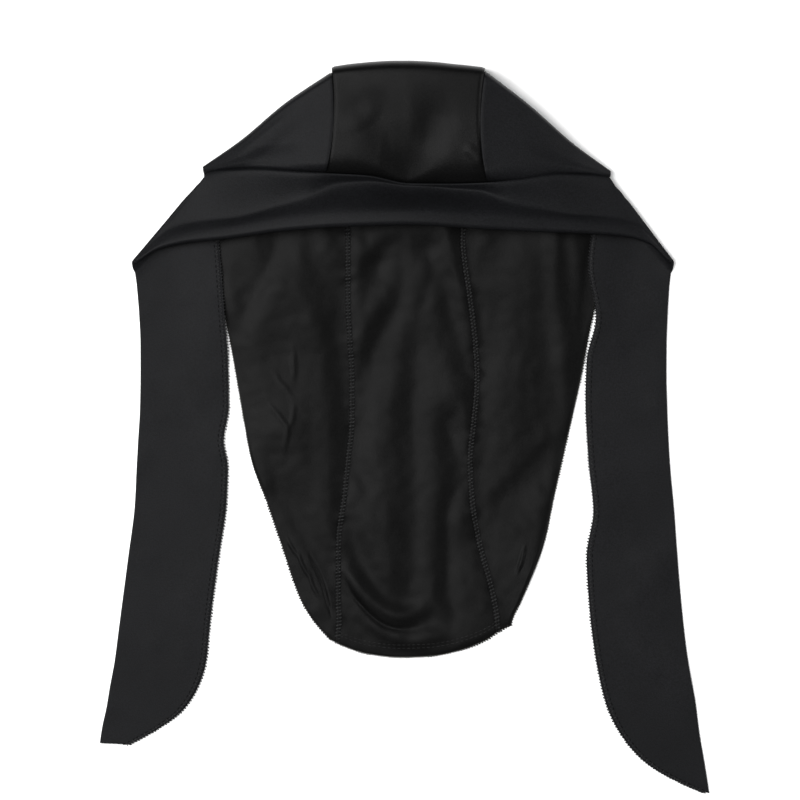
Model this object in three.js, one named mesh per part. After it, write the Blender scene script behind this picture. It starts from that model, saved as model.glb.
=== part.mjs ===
// Skull cap with ties, lying on its back with its front face up. Millimetres, +Z up.
// X runs across the cap and +Y from the tail to the top of the crown. The origin is on
// the surface the cap lies on, under the middle of its outline. Three crown panels run
// from the brow seam over the top fold and down the back to the tail. One strip of cloth,
// folded double, is the brow band, and turns back under itself at each side to make a tie.
import * as THREE from 'three';

// Driving sizes
const CLOTH = 1.2; // wall of one crown panel
const STRIP = 1.8; // wall of the strip, two layers of cloth
const ROLLED_EDGE = 3.0; // thickest part of the strip, just inside its folded edge
const SEAM_GAP = 0.7; // between two panels sewn edge to edge
const BROW_GAP = 1.0; // between the crown and the band along the brow seam
const SEAM_FLAT = 0.9; // level strip of the crown beside the brow seam
const TOP_FOLD_DROP = 6; // how far in from the fold the back layer reaches the surface
const CORNER_ROLL = 1.6; // radius of the soft fold where the band turns into a tie

// The brow seam, left to right: where the crown's front edge is sewn to the band
const BROW_SEAM = [
  { x: -108.6, y: 137.6, z: 7.0 },
  { x: -96, y: 139.2, z: 12.5 },
  { x: -81, y: 139.6, z: 17.0 },
  { x: -58, y: 138.0, z: 22.0 },
  { x: -42.4, y: 137.2, z: 23.6 },
  { x: -20, y: 136.0, z: 21.5 },
  { x: 3, y: 131.8, z: 18.6 },
  { x: 24, y: 131.6, z: 19.6 },
  { x: 44.6, y: 132.2, z: 21.6 },
  { x: 62, y: 133.8, z: 20.6 },
  { x: 84, y: 136.8, z: 16.2 },
  { x: 98, y: 136.6, z: 12.0 },
  { x: 111.2, y: 135.4, z: 7.0 },
];

// Front of each crown panel. A row is one section, from the brow seam up to the fold: at
// is the place across the panel, bow how far its middle strays sideways, ridge the share
// of the way to the low swell over the seam, then the heights of the swell, the dip above
// it and the rounded shoulder, and how deep the shoulder lies behind the fold.
const LEFT_FRONT = [
  {
    at: 0, seamX: -42.4, foldX: -39.2, foldY: 191.8, bow: 2.6,
    edgeZ: 4.6, ridge: 0.2, ridgeZ: 28.6, dipZ: 28.2, shoulderZ: 29, shoulder: 17,
  },
  {
    at: 0.35, seamX: -66, foldX: -64, foldY: 175.2, bow: 1.2,
    edgeZ: 4.3, ridge: 0.2, ridgeZ: 22.6, dipZ: 23.4, shoulderZ: 23.6, shoulder: 13,
  },
  {
    at: 0.7, seamX: -89, foldX: -88, foldY: 155.2, bow: 0.3,
    edgeZ: 4.0, ridge: 0.3, ridgeZ: 16.4, dipZ: 17.0, shoulderZ: 17.0, shoulder: 8,
  },
  {
    at: 1, seamX: -107.6, foldX: -108.4, foldY: 141.0, bow: 0,
    edgeZ: 3.8, ridge: 0.3, ridgeZ: 7.0, dipZ: 7.0, shoulderZ: 7.0, shoulder: 1.6,
  },
];
const CENTRE_FRONT = [
  {
    at: 0, seamX: -42.4, foldX: -39.2, foldY: 194.6, bow: 2.6,
    edgeZ: 5.0, ridge: 0.2, ridgeZ: 29.2, dipZ: 28.8, shoulderZ: 29.5, shoulder: 18,
  },
  {
    at: 0.22, seamX: -23.4, foldX: -21, foldY: 197.1, bow: 1.6,
    edgeZ: 5.2, ridge: 0.24, ridgeZ: 32.4, dipZ: 30.4, shoulderZ: 32, shoulder: 20,
  },
  {
    at: 0.52, seamX: 3, foldX: 3, foldY: 197.8, bow: 0,
    edgeZ: 5.4, ridge: 0.08, ridgeZ: 28.0, dipZ: 27.0, shoulderZ: 32.5, shoulder: 22,
  },
  {
    at: 0.78, seamX: 25.5, foldX: 25, foldY: 196.1, bow: -2,
    edgeZ: 5.2, ridge: 0.22, ridgeZ: 31.6, dipZ: 30.2, shoulderZ: 32, shoulder: 20,
  },
  {
    at: 1, seamX: 44.6, foldX: 43.4, foldY: 194.2, bow: -3.2,
    edgeZ: 5.0, ridge: 0.34, ridgeZ: 29.4, dipZ: 29.0, shoulderZ: 29.5, shoulder: 18,
  },
];
const RIGHT_FRONT = [
  {
    at: 0, seamX: 44.6, foldX: 43.4, foldY: 192.4, bow: -3.2,
    edgeZ: 4.6, ridge: 0.34, ridgeZ: 28.8, dipZ: 28.4, shoulderZ: 29, shoulder: 17,
  },
  {
    at: 0.35, seamX: 68, foldX: 67.5, foldY: 173.8, bow: -1.4,
    edgeZ: 4.3, ridge: 0.3, ridgeZ: 22.2, dipZ: 23.0, shoulderZ: 23.2, shoulder: 13,
  },
  {
    at: 0.7, seamX: 91, foldX: 91, foldY: 153.2, bow: -0.3,
    edgeZ: 4.0, ridge: 0.3, ridgeZ: 15.8, dipZ: 16.4, shoulderZ: 16.4, shoulder: 8,
  },
  {
    at: 1, seamX: 110.4, foldX: 111.0, foldY: 138.6, bow: 0,
    edgeZ: 3.8, ridge: 0.3, ridgeZ: 7.0, dipZ: 7.0, shoulderZ: 7.0, shoulder: 1.6,
  },
];

// Back layer: the two lengthways seams and the hems, at heights down the cap
const BACK = [
  { y: -117, hemLeft: -38, seamLeft: -36.4, seamRight: 50.6, hemRight: 55.7 },
  { y: -104, hemLeft: -49.4, seamLeft: -35.4, seamRight: 50, hemRight: 58.2 },
  { y: -93, hemLeft: -56, seamLeft: -35.8, seamRight: 48.3, hemRight: 63.3 },
  { y: -61, hemLeft: -67.2, seamLeft: -35.6, seamRight: 40.2, hemRight: 75.7 },
  { y: -39, hemLeft: -74.8, seamLeft: -32.7, seamRight: 36.5, hemRight: 80.3 },
  { y: -18, hemLeft: -82.4, seamLeft: -30.5, seamRight: 35.4, hemRight: 85.2 },
  { y: 4, hemLeft: -86.7, seamLeft: -28.4, seamRight: 37.5, hemRight: 90.1 },
  { y: 26, hemLeft: -90.5, seamLeft: -28.4, seamRight: 39.2, hemRight: 94.9 },
  { y: 47, hemLeft: -94.2, seamLeft: -29.4, seamRight: 38.1, hemRight: 98.7 },
  { y: 69, hemLeft: -98.6, seamLeft: -30.5, seamRight: 35.4, hemRight: 103.2 },
  { y: 101, hemLeft: -104, seamLeft: -30.5, seamRight: 31.6, hemRight: 106.6 },
  { y: 150, hemLeft: -108.6, seamLeft: -36, seamRight: 39, hemRight: 111.4 },
  { y: 198, hemLeft: -108.6, seamLeft: -40, seamRight: 44.2, hemRight: 111.4 },
];
// The tail's cut edge, where each panel ends
const TAIL_EDGE = [
  { x: -40, y: -114.6 },
  { x: -36.4, y: -116.6 },
  { x: -19, y: -122.2 },
  { x: -2.4, y: -123.9 },
  { x: 14, y: -123.3 },
  { x: 30, y: -120.2 },
  { x: 44.5, y: -114.6 },
  { x: 51, y: -110.4 },
  { x: 56, y: -107.4 },
];

// Folds of the back layer that stand up from the surface, each along a path of a few
// points. left and right are the half widths of its two slopes, seen along the path, and
// spread is how many times wider it is at its far end.
const BACK_FOLDS = [
  {
    name: 'hood over the nape', height: 6.5, left: 8, right: 11, spread: 1,
    path: [[-24, 97], [-12, 106], [16, 105], [24, 90], [33, 50]],
  },
  { name: 'left pleat', height: 7, left: 11, right: 9, spread: 1.3, path: [[9, 92], [-7, 40], [-16, -12], [-8, -76]] },
  { name: 'right pleat', height: 6.5, left: 8, right: 10, spread: 1.2, path: [[11, 80], [10, 4], [15, -50], [16, -90]] },
  { name: 'short pleat', height: 4.5, left: 8, right: 7, spread: 1, path: [[-17, 78], [-25, 46]] },
  { name: 'bulge by the right seam', height: 5, left: 9, right: 9, spread: 1, path: [[20, 20], [28, 8]] },
  {
    name: 'sag above the tail', height: 5.5, left: 9, right: 8, spread: 1,
    path: [[-32, -66], [-20, -94], [-2, -104], [14, -97]],
  },
  { name: 'left panel cone', height: 6, left: 9, right: 9, spread: 3, path: [[-62, 104], [-60, 70], [-66, 20]] },
  { name: 'right panel ridge', height: 5.5, left: 11, right: 11, spread: 1.1, path: [[82, 106], [84, 60], [87, 18]] },
  { name: 'right panel slant', height: 5, left: 12, right: 14, spread: 1.2, path: [[44, -38], [62, -26], [86, 2]] },
];

// Brow band, left corner to right corner. edge is its rolled lower edge, seamX the place
// on the brow seam straight across from it, lipZ the top of the rolled edge, and
// troughShare and troughZ the hollow between the seam and the roll.
const BAND = [
  { edgeX: -145.0, edgeY: 89.6, seamX: -104.8, lipZ: 6.0, troughShare: 0.6, troughZ: 6.4 },
  { edgeX: -133, edgeY: 96.8, seamX: -103.4, lipZ: 8.6, troughShare: 0.6, troughZ: 6.9 },
  { edgeX: -118, edgeY: 100.2, seamX: -99, lipZ: 11, troughShare: 0.62, troughZ: 8.2 },
  { edgeX: -96, edgeY: 102.4, seamX: -85, lipZ: 15, troughShare: 0.66, troughZ: 11.4 },
  { edgeX: -68, edgeY: 106.2, seamX: -63, lipZ: 21.5, troughShare: 0.6, troughZ: 15.4 },
  { edgeX: -36, edgeY: 108.6, seamX: -35, lipZ: 28, troughShare: 0.46, troughZ: 17.6 },
  { edgeX: 3, edgeY: 109.6, seamX: 3, lipZ: 31.5, troughShare: 0.2, troughZ: 18.0 },
  { edgeX: 40, edgeY: 107.6, seamX: 39, lipZ: 28.5, troughShare: 0.36, troughZ: 17.6 },
  { edgeX: 71, edgeY: 106.2, seamX: 65, lipZ: 21.5, troughShare: 0.55, troughZ: 15.4 },
  { edgeX: 98, edgeY: 105.2, seamX: 88, lipZ: 15, troughShare: 0.64, troughZ: 11.4 },
  { edgeX: 119, edgeY: 103.6, seamX: 102, lipZ: 11, troughShare: 0.62, troughZ: 8.2 },
  { edgeX: 132, edgeY: 100, seamX: 107, lipZ: 8.6, troughShare: 0.6, troughZ: 6.9 },
  { edgeX: 143.2, edgeY: 90.0, seamX: 109.4, lipZ: 6.0, troughShare: 0.6, troughZ: 6.4 },
];

// Ties, from the turned corner to the tip. inner is the stitched edge beside the cap,
// outer the folded edge, and lift the height of the inner edge where it lies on the crown.
const LEFT_TIE = [
  { innerX: -102, innerY: 116, outerX: -144.2, outerY: 78, lift: 1.9 },
  { innerX: -99.4, innerY: 90, outerX: -142.8, outerY: 62, lift: 1.9 },
  { innerX: -97.4, innerY: 62, outerX: -142, outerY: 46, lift: 1.4 },
  { innerX: -95.4, innerY: 34, outerX: -141.9, outerY: 28, lift: 0.3 },
  { innerX: -95, innerY: 12, outerX: -142.2, outerY: 10, lift: 0 },
  { innerX: -97.8, innerY: -7, outerX: -143.2, outerY: -7, lift: 0.9 },
  { innerX: -95.6, innerY: -22, outerX: -144, outerY: -22, lift: 0.2 },
  { innerX: -96.4, innerY: -42, outerX: -145, outerY: -42, lift: 0 },
  { innerX: -100.8, innerY: -72, outerX: -148.8, outerY: -72, lift: 0.5 },
  { innerX: -105, innerY: -104, outerX: -153, outerY: -104, lift: 0.2 },
  { innerX: -107.4, innerY: -127, outerX: -156, outerY: -127, lift: 0 },
  { innerX: -112, innerY: -141, outerX: -158.4, outerY: -140, lift: 0 },
  { innerX: -120.4, innerY: -153.4, outerX: -160.4, outerY: -152, lift: 0 },
  { innerX: -133.4, innerY: -163, outerX: -162.6, outerY: -162, lift: 0 },
  { innerX: -148.4, innerY: -171.4, outerX: -163.9, outerY: -170.6, lift: 0 },
];
const RIGHT_TIE = [
  { innerX: 102.4, innerY: 112, outerX: 142.6, outerY: 77, lift: 1.9 },
  { innerX: 99.6, innerY: 88, outerX: 141.6, outerY: 62, lift: 1.9 },
  { innerX: 103.6, innerY: 60, outerX: 141, outerY: 46, lift: 2.0 },
  { innerX: 98.6, innerY: 36, outerX: 140.8, outerY: 30, lift: 0.6 },
  { innerX: 98, innerY: 14, outerX: 141.2, outerY: 12, lift: 0 },
  { innerX: 99.6, innerY: -18, outerX: 142.6, outerY: -18, lift: 0.3 },
  { innerX: 102.2, innerY: -45, outerX: 145, outerY: -45, lift: 1.0 },
  { innerX: 98.6, innerY: -70, outerX: 146.8, outerY: -70, lift: 0.2 },
  { innerX: 100, innerY: -96, outerX: 149, outerY: -96, lift: 0 },
  { innerX: 103.4, innerY: -124, outerX: 152.2, outerY: -124, lift: 0.4 },
  { innerX: 109.6, innerY: -151, outerX: 156.6, outerY: -149, lift: 0 },
  { innerX: 118.4, innerY: -168, outerX: 158.8, outerY: -166, lift: 0 },
  { innerX: 131, innerY: -181.6, outerX: 161, outerY: -179, lift: 0 },
  { innerX: 148, innerY: -191.6, outerX: 162.8, outerY: -190, lift: 0 },
  { innerX: 161, innerY: -197.4, outerX: 163.9, outerY: -197.2, lift: 0 },
];

// How finely each piece is divided
const CENTRE_COLUMNS = 16;
const SIDE_COLUMNS = 11;
const FRONT_STEPS = 3; // between two stations of a front section
const SHOULDER_STEPS = 5;
const UNDERSIDE_STEPS = 3;
const BACK_ROWS = 28;
const BAND_STEPS = 34;
const TIE_STEPS = 20;
const CORNER_STEPS = 4;

// Across the strip, from its sewn or stitched edge (0) to its folded edge (1): the wall
// swells to a soft roll just inside the fold and closes round it.
const STRIP_COLUMNS = [
  { across: 0, thick: STRIP },
  { across: 0.2, thick: STRIP },
  { across: 0.4, thick: STRIP },
  { across: 0.6, thick: STRIP },
  { across: 0.78, thick: STRIP + 0.4 },
  { across: 0.9, thick: ROLLED_EDGE },
  { across: 0.96, thick: ROLLED_EDGE - 0.5 },
  { across: 1, thick: 1.0 },
];
const LIP_SHARE = 0.9; // place of the roll's crest across the band
const LIP_CURL = 1.8; // how far the cloth curls down from the crest to the edge

const mix = THREE.MathUtils.lerp;
const eased = (t) => t * t * (3 - 2 * t);

// One column of a table as a smooth function of another, with no overshoot between rows.
function track(rows, along, column) {
  const at = rows.map((row) => row[along]);
  const value = rows.map((row) => row[column]);
  const secant = (i) => (value[i + 1] - value[i]) / (at[i + 1] - at[i]);
  const last = rows.length - 1;
  const slope = value.map((_, i) => {
    if (i === 0 || i === last) return secant(i === 0 ? 0 : last - 1);
    const [before, after] = [secant(i - 1), secant(i)];
    return before * after <= 0 ? 0 : (2 * before * after) / (before + after);
  });
  return (v) => {
    const u = THREE.MathUtils.clamp(v, at[0], at[last]);
    const i = Math.max(0, Math.min(last - 1, at.findIndex((a) => a > u) - 1));
    const k = u >= at[last] ? last - 1 : i;
    const span = at[k + 1] - at[k];
    const t = (u - at[k]) / span;
    const bend = t * (1 - t) * span;
    return mix(value[k], value[k + 1], eased(t)) + bend * ((1 - t) * slope[k] - t * slope[k + 1]);
  };
}

const tracks = (rows, along, ...columns) =>
  Object.fromEntries(columns.map((column) => [column, track(rows, along, column)]));

// A height that eases from one station to the next and is level at each of them.
function stations(list, share) {
  const next = Math.max(1, list.findIndex((station) => station.share >= share));
  const [a, b] = [list[next - 1], list[next]];
  return mix(a.z, b.z, eased((share - a.share) / (b.share - a.share)));
}

// Height of one fold over the surface at (x, y): it fades across both slopes to nothing,
// and to a quarter at its ends.
function foldHeight(fold, x, y) {
  const point = new THREE.Vector2(x, y);
  const corners = fold.path.map(([px, py]) => new THREE.Vector2(px, py));
  let best = { far: Infinity };
  for (let i = 0; i < corners.length - 1; i++) {
    const leg = corners[i + 1].clone().sub(corners[i]);
    const from = point.clone().sub(corners[i]);
    const share = THREE.MathUtils.clamp(from.dot(leg) / leg.lengthSq(), 0, 1);
    const off = from.clone().sub(leg.clone().multiplyScalar(share));
    const far = off.length();
    if (far < best.far) best = { far, side: leg.cross(off), along: (i + share) / (corners.length - 1) };
  }
  const width = (best.side > 0 ? fold.left : fold.right) * mix(1, fold.spread, best.along);
  const ends = mix(0.25, 1, eased(Math.min(1, 4 * best.along, 4 * (1 - best.along))));
  return fold.height * ends * Math.max(0, 1 - (best.far / width) ** 2) ** 2;
}

const seam = tracks(BROW_SEAM, 'x', 'y', 'z');
const back = tracks(BACK, 'y', 'hemLeft', 'seamLeft', 'seamRight', 'hemRight');
const tailY = track(TAIL_EDGE, 'x', 'y');

// Height of the back layer's middle: it lies flat on the surface between its folds.
function backZ(x, y) {
  return CLOTH / 2 + Math.hypot(...BACK_FOLDS.map((fold) => foldHeight(fold, x, y)));
}

// Middle surface of one crown panel as rows of points, from the brow seam over the fold
// and down the back. near and far name the panel's two edges in the BACK table.
function crownPanel(sections, near, far, tailNear, tailFar, columns) {
  const front = tracks(
    sections, 'at', 'seamX', 'foldX', 'foldY', 'bow',
    'edgeZ', 'ridge', 'ridgeZ', 'dipZ', 'shoulderZ', 'shoulder',
  );
  const inset = SEAM_GAP / 2 / Math.abs(sections.at(-1).seamX - sections[0].seamX);
  const lines = [];
  for (let c = 0; c <= columns; c++) {
    const at = mix(inset, 1 - inset, c / columns);
    const seamX = front.seamX(at);
    const edgeY = seam.y(seamX) + BROW_GAP / 2;
    const seamY = edgeY + SEAM_FLAT;
    const foldX = front.foldX(at);
    const foldY = front.foldY(at) - CLOTH / 2;
    const edgeZ = front.edgeZ(at);
    const shoulderY = foldY - Math.min(front.shoulder(at), 0.6 * (foldY - seamY));
    const frontStations = [
      { share: 0, z: seam.z(seamX) },
      { share: front.ridge(at), z: front.ridgeZ(at) },
      { share: 0.6, z: front.dipZ(at) },
      { share: 1, z: front.shoulderZ(at) },
    ];
    const line = [new THREE.Vector3(seamX, edgeY, seam.z(seamX))];
    const frontX = (y) => {
      const share = (y - seamY) / (foldY - seamY);
      return mix(seamX, foldX, share) + 4 * front.bow(at) * share * (1 - share);
    };
    for (let i = 0; i < 3; i++) {
      for (let k = 0; k < FRONT_STEPS; k++) {
        const share = mix(frontStations[i].share, frontStations[i + 1].share, k / FRONT_STEPS);
        const y = mix(seamY, shoulderY, share);
        line.push(new THREE.Vector3(frontX(y), y, stations(frontStations, share)));
      }
    }
    for (let k = 0; k <= SHOULDER_STEPS; k++) {
      const turn = (Math.PI / 2) * (1 - k / SHOULDER_STEPS);
      const y = mix(foldY, shoulderY, 1 - Math.cos(turn));
      line.push(new THREE.Vector3(frontX(y), y, mix(edgeZ, front.shoulderZ(at), Math.sin(turn))));
    }
    const across = (y) => mix(back[near](y), back[far](y), at);
    const endY = tailY(mix(tailNear, tailFar, at));
    const lean = foldX - across(foldY);
    for (let k = 1; k <= UNDERSIDE_STEPS + BACK_ROWS; k++) {
      const turn = Math.min(1, k / UNDERSIDE_STEPS) * (Math.PI / 2);
      const down = Math.max(0, (k - UNDERSIDE_STEPS) / BACK_ROWS) ** 0.9;
      const y = mix(foldY - TOP_FOLD_DROP * (1 - Math.cos(turn)), endY, down);
      const x = across(y) + lean * (1 - (foldY - y) / (foldY - endY)) ** 3;
      line.push(new THREE.Vector3(x, y, mix(backZ(x, y), edgeZ, 1 - Math.sin(turn))));
    }
    lines.push(line);
  }
  return lines;
}

// One cross line of the brow band, from the seam to the rolled edge.
const band = tracks(BAND, 'edgeX', 'edgeY', 'seamX', 'lipZ', 'troughShare', 'troughZ');
function bandLine(edgeX) {
  const seamX = band.seamX(edgeX);
  const [seamY, edgeY] = [seam.y(seamX) - BROW_GAP / 2, band.edgeY(edgeX)];
  const heights = [
    { share: 0, z: seam.z(seamX) },
    { share: band.troughShare(edgeX), z: band.troughZ(edgeX) },
    { share: LIP_SHARE, z: band.lipZ(edgeX) },
    { share: 1, z: band.lipZ(edgeX) - LIP_CURL },
  ];
  return STRIP_COLUMNS.map(
    ({ across }) => new THREE.Vector3(mix(seamX, edgeX, across), mix(seamY, edgeY, across), stations(heights, across)),
  );
}

// Cross lines of a tie, from its corner to its tip, lying on the surface.
function tieLines(rows) {
  const keyed = rows.map((row, i) => ({ ...row, at: i / (rows.length - 1) }));
  const tie = tracks(keyed, 'at', 'innerX', 'innerY', 'outerX', 'outerY', 'lift');
  const lines = [];
  for (let i = 0; i <= TIE_STEPS; i++) {
    const at = i / TIE_STEPS;
    lines.push(
      STRIP_COLUMNS.map(({ across, thick }) => {
        const z = thick / 2 + tie.lift(at) * (1 - eased(Math.min(1, across * 1.6)));
        return new THREE.Vector3(
          mix(tie.innerX(at), tie.outerX(at), across), mix(tie.innerY(at), tie.outerY(at), across), z,
        );
      }),
    );
  }
  return lines;
}

// The soft diagonal fold between the band's last cross line and the tie: each point turns
// half round, outwards and under, to lie below itself.
function cornerLines(bandEnd, tieStart) {
  const run = bandEnd.at(-1).clone().sub(bandEnd[0]).setZ(0).normalize();
  const outward = new THREE.Vector3(-run.y, run.x, 0);
  if (outward.x * bandEnd[0].x < 0) outward.negate();
  const lines = [];
  for (let k = 1; k <= CORNER_STEPS; k++) {
    const turn = Math.PI * (k / CORNER_STEPS);
    lines.push(
      bandEnd.map((point, c) => {
        const low = tieStart[c].z;
        const z = mix(point.z, low, (1 - Math.cos(turn)) / 2);
        const roll = CORNER_ROLL * eased(Math.min(1, STRIP_COLUMNS[c].across * 3)) * Math.sin(turn);
        return point.clone().addScaledVector(outward, roll).setZ(z);
      }),
    );
  }
  return lines;
}

// A closed wall round a middle surface: the surface is moved half a thickness out along
// its normals on both sides, and the four cut edges are closed.
function clothWall(lines, thicknessOf) {
  const [rows, columns] = [lines.length, lines[0].length];
  const at = (r, c) => lines[Math.max(0, Math.min(rows - 1, r))][Math.max(0, Math.min(columns - 1, c))];
  const positions = [];
  for (const side of [1, -1]) {
    for (let r = 0; r < rows; r++) {
      for (let c = 0; c < columns; c++) {
        const down = at(r + 1, c).clone().sub(at(r - 1, c));
        const across = at(r, c + 1).clone().sub(at(r, c - 1));
        const normal = down.cross(across).normalize();
        const point = at(r, c).clone().addScaledVector(normal, (side * thicknessOf(c)) / 2);
        positions.push(point.x, point.y, point.z);
      }
    }
  }
  const id = (side, r, c) => side * rows * columns + r * columns + c;
  const faces = [];
  // Each quad is split along its more level diagonal, so that its two faces follow the folds.
  const quad = (a, b, c, d, turned = false) => faces.push(...(turned ? [a, b, d, b, c, d] : [a, b, c, a, c, d]));
  const fall = (a, b) => Math.abs(a.z - b.z);
  for (let r = 0; r < rows - 1; r++) {
    for (let c = 0; c < columns - 1; c++) {
      const turned = fall(at(r, c), at(r + 1, c + 1)) > fall(at(r + 1, c), at(r, c + 1));
      quad(id(0, r, c), id(0, r + 1, c), id(0, r + 1, c + 1), id(0, r, c + 1), turned);
      quad(id(1, r, c), id(1, r, c + 1), id(1, r + 1, c + 1), id(1, r + 1, c), turned);
    }
    quad(id(0, r, 0), id(1, r, 0), id(1, r + 1, 0), id(0, r + 1, 0));
    quad(id(0, r + 1, columns - 1), id(1, r + 1, columns - 1), id(1, r, columns - 1), id(0, r, columns - 1));
  }
  for (let c = 0; c < columns - 1; c++) {
    quad(id(0, 0, c + 1), id(1, 0, c + 1), id(1, 0, c), id(0, 0, c));
    quad(id(0, rows - 1, c), id(1, rows - 1, c), id(1, rows - 1, c + 1), id(0, rows - 1, c + 1));
  }
  const geometry = new THREE.BufferGeometry();
  geometry.setAttribute('position', new THREE.Float32BufferAttribute(positions, 3));
  geometry.setIndex(faces);
  geometry.computeVertexNormals();
  return geometry;
}

// Materials: matt knit on the strip and side panels, a slightly darker sheen in the middle
const mattKnit = new THREE.MeshStandardMaterial({ color: 0x202124, roughness: 0.8, metalness: 0 });
const sheenKnit = new THREE.MeshStandardMaterial({ color: 0x191a1b, roughness: 0.6, metalness: 0 });

function piece(name, lines, thicknessOf, material) {
  const mesh = new THREE.Mesh(clothWall(lines, thicknessOf), material);
  mesh.name = name;
  return mesh;
}

const cap = new THREE.Group();
const panelWall = () => CLOTH;
const centreLines = crownPanel(CENTRE_FRONT, 'seamLeft', 'seamRight', -36.4, 51, CENTRE_COLUMNS);
cap.add(piece('crown_center_panel', centreLines, panelWall, sheenKnit));

// The left panel is counted from its outer edge, so that its faces also point out.
const leftLines = crownPanel(LEFT_FRONT, 'seamLeft', 'hemLeft', -36.4, -40, SIDE_COLUMNS).reverse();
cap.add(piece('crown_side_panel_left', leftLines, panelWall, mattKnit));
const rightLines = crownPanel(RIGHT_FRONT, 'seamRight', 'hemRight', 51, 56.5, SIDE_COLUMNS);
cap.add(piece('crown_side_panel_right', rightLines, panelWall, mattKnit));

// The strip runs tip, left tie, corner, band, corner, right tie, tip.
const bandLines = [];
for (let i = 0; i <= BAND_STEPS; i++) bandLines.push(bandLine(mix(BAND[0].edgeX, BAND.at(-1).edgeX, i / BAND_STEPS)));
const leftTie = tieLines(LEFT_TIE);
const rightTie = tieLines(RIGHT_TIE);
const strip = [
  ...leftTie.toReversed(),
  ...cornerLines(bandLines[0], leftTie[0]).toReversed(),
  ...bandLines,
  ...cornerLines(bandLines.at(-1), rightTie[0]),
  ...rightTie,
];
cap.add(piece('band_and_ties', strip, (column) => STRIP_COLUMNS[column].thick, mattKnit));

export default cap;
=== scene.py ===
import bpy
import numpy as np
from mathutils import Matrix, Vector, noise


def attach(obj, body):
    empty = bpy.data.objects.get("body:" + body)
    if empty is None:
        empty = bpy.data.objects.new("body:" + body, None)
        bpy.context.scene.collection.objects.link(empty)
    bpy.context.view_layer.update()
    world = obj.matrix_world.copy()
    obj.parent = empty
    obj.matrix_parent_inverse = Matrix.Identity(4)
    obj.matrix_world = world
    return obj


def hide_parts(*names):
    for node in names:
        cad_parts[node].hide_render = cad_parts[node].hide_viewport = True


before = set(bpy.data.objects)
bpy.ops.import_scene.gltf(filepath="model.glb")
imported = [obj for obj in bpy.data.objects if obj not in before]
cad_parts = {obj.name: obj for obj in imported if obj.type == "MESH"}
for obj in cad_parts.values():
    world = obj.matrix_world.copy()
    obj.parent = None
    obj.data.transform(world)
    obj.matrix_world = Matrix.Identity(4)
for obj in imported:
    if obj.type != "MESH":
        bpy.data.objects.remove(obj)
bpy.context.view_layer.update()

MM = 0.001  # the sizes below are in millimetres, and meshes are in metres

# Camera
# It looks straight down on the cap, which lies on its back with the face opening towards
# the foot of the picture. The lens is long, so that heights hardly shift anything.
PICTURE_WIDTH = 432
PICTURE_CENTRE = (-2.4, 14.8)
LENS, SENSOR = 400, 36
LEVEL_IN_SCALE = 8  # the height at which the picture's width holds

camera_data = bpy.data.cameras.new("camera")
camera_data.lens, camera_data.sensor_width = LENS, SENSOR
camera_data.clip_end = 50
camera = bpy.data.objects.new("camera", camera_data)
camera_height = PICTURE_WIDTH * LENS / SENSOR + LEVEL_IN_SCALE
camera.location = (PICTURE_CENTRE[0] * MM, PICTURE_CENTRE[1] * MM, camera_height * MM)
bpy.context.collection.objects.link(camera)
bpy.context.scene.camera = camera

# Floor
# A plain white table top, larger than any view of the cap.
FLOOR_SIZE = 12  # metres
bpy.ops.mesh.primitive_plane_add(size=FLOOR_SIZE)
floor = bpy.context.object
floor.name = "floor"
floor_paint = bpy.data.materials.new("white_table")
floor_paint.use_nodes = True
floor_shader = floor_paint.node_tree.nodes["Principled BSDF"]
floor_shader.inputs["Base Color"].default_value = (0.94, 0.94, 0.94, 1)
floor_shader.inputs["Roughness"].default_value = 0.9
floor_shader.inputs["Specular IOR Level"].default_value = 0.1
floor.data.materials.append(floor_paint)

# Light
# Three soft boxes in a pale room: one nearly overhead, one at the picture's left and one
# low at its right.
LAMPS = [
    {"name": "soft_box", "place": (-0.38, 0.15, 1.83), "size": 0.7, "power": 24},
    {"name": "left_box", "place": (-1.2, 0.35, 1.6), "size": 0.9, "power": 33},
    {"name": "right_box", "place": (1.8, 0.25, 0.85), "size": 1.0, "power": 30},
]
for lamp in LAMPS:
    lamp_data = bpy.data.lights.new(lamp["name"], "AREA")
    lamp_data.shape, lamp_data.size, lamp_data.energy = "SQUARE", lamp["size"], lamp["power"]
    lamp_object = bpy.data.objects.new(lamp["name"], lamp_data)
    lamp_object.location = lamp["place"]
    lamp_object.rotation_euler = (-Vector(lamp["place"])).to_track_quat("-Z", "Y").to_euler()
    lamp_object.visible_camera = False
    bpy.context.collection.objects.link(lamp_object)
room = bpy.data.worlds.new("room")
room.use_nodes = True
room.node_tree.nodes["Background"].inputs["Color"].default_value = (1, 1, 1, 1)
room.node_tree.nodes["Background"].inputs["Strength"].default_value = 0.2
bpy.context.scene.world = room
bpy.context.scene.view_settings.view_transform = "Standard"
bpy.context.scene.view_settings.gamma = 0.8  # deepens the blacks, as in the photograph

# Crown, centre panel
# One strip of thin stretch knit with its smooth face out. It runs from the brow seam over
# the top fold and down the back to the tail, wider than the space that it lies in there,
# so its back stands up in folds.
CLOTH = 0.8  # thickness of one layer
FOLD_SHARE = 0.6  # of the rises in the fold tables; the whole of them would shade too strongly
CLIMB = 3.4  # how far the back rises under the brow, towards the hollow of the crown
FOLD_ENDS = 0.15  # of a fold's height, left at its ends unless its row says otherwise
LEAST_GAP = 0.8  # between two fold lines
HEM_RISE = 0.2
SOFTNESS = 4  # reach of the rounding of folds, in steps of the map
CRISP = 2  # cross folds with a slope no wider than this are added after the rounding
BACK_WAVES = ((1.2, 45, 3), (0.5, 19, 8), (0.16, 6, 5))  # height, size, seed
PUCKER_REACH = 3.5  # on both sides of a seam
CREASE_DEPTH, CREASE_REACH = 0.5, 1.0  # of the front's sewn edges
BROW_ROWS = 40  # of the front, that the brow seam can draw in
WAVE_PERIOD = 0.314  # of a wave texture at scale 1
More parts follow.
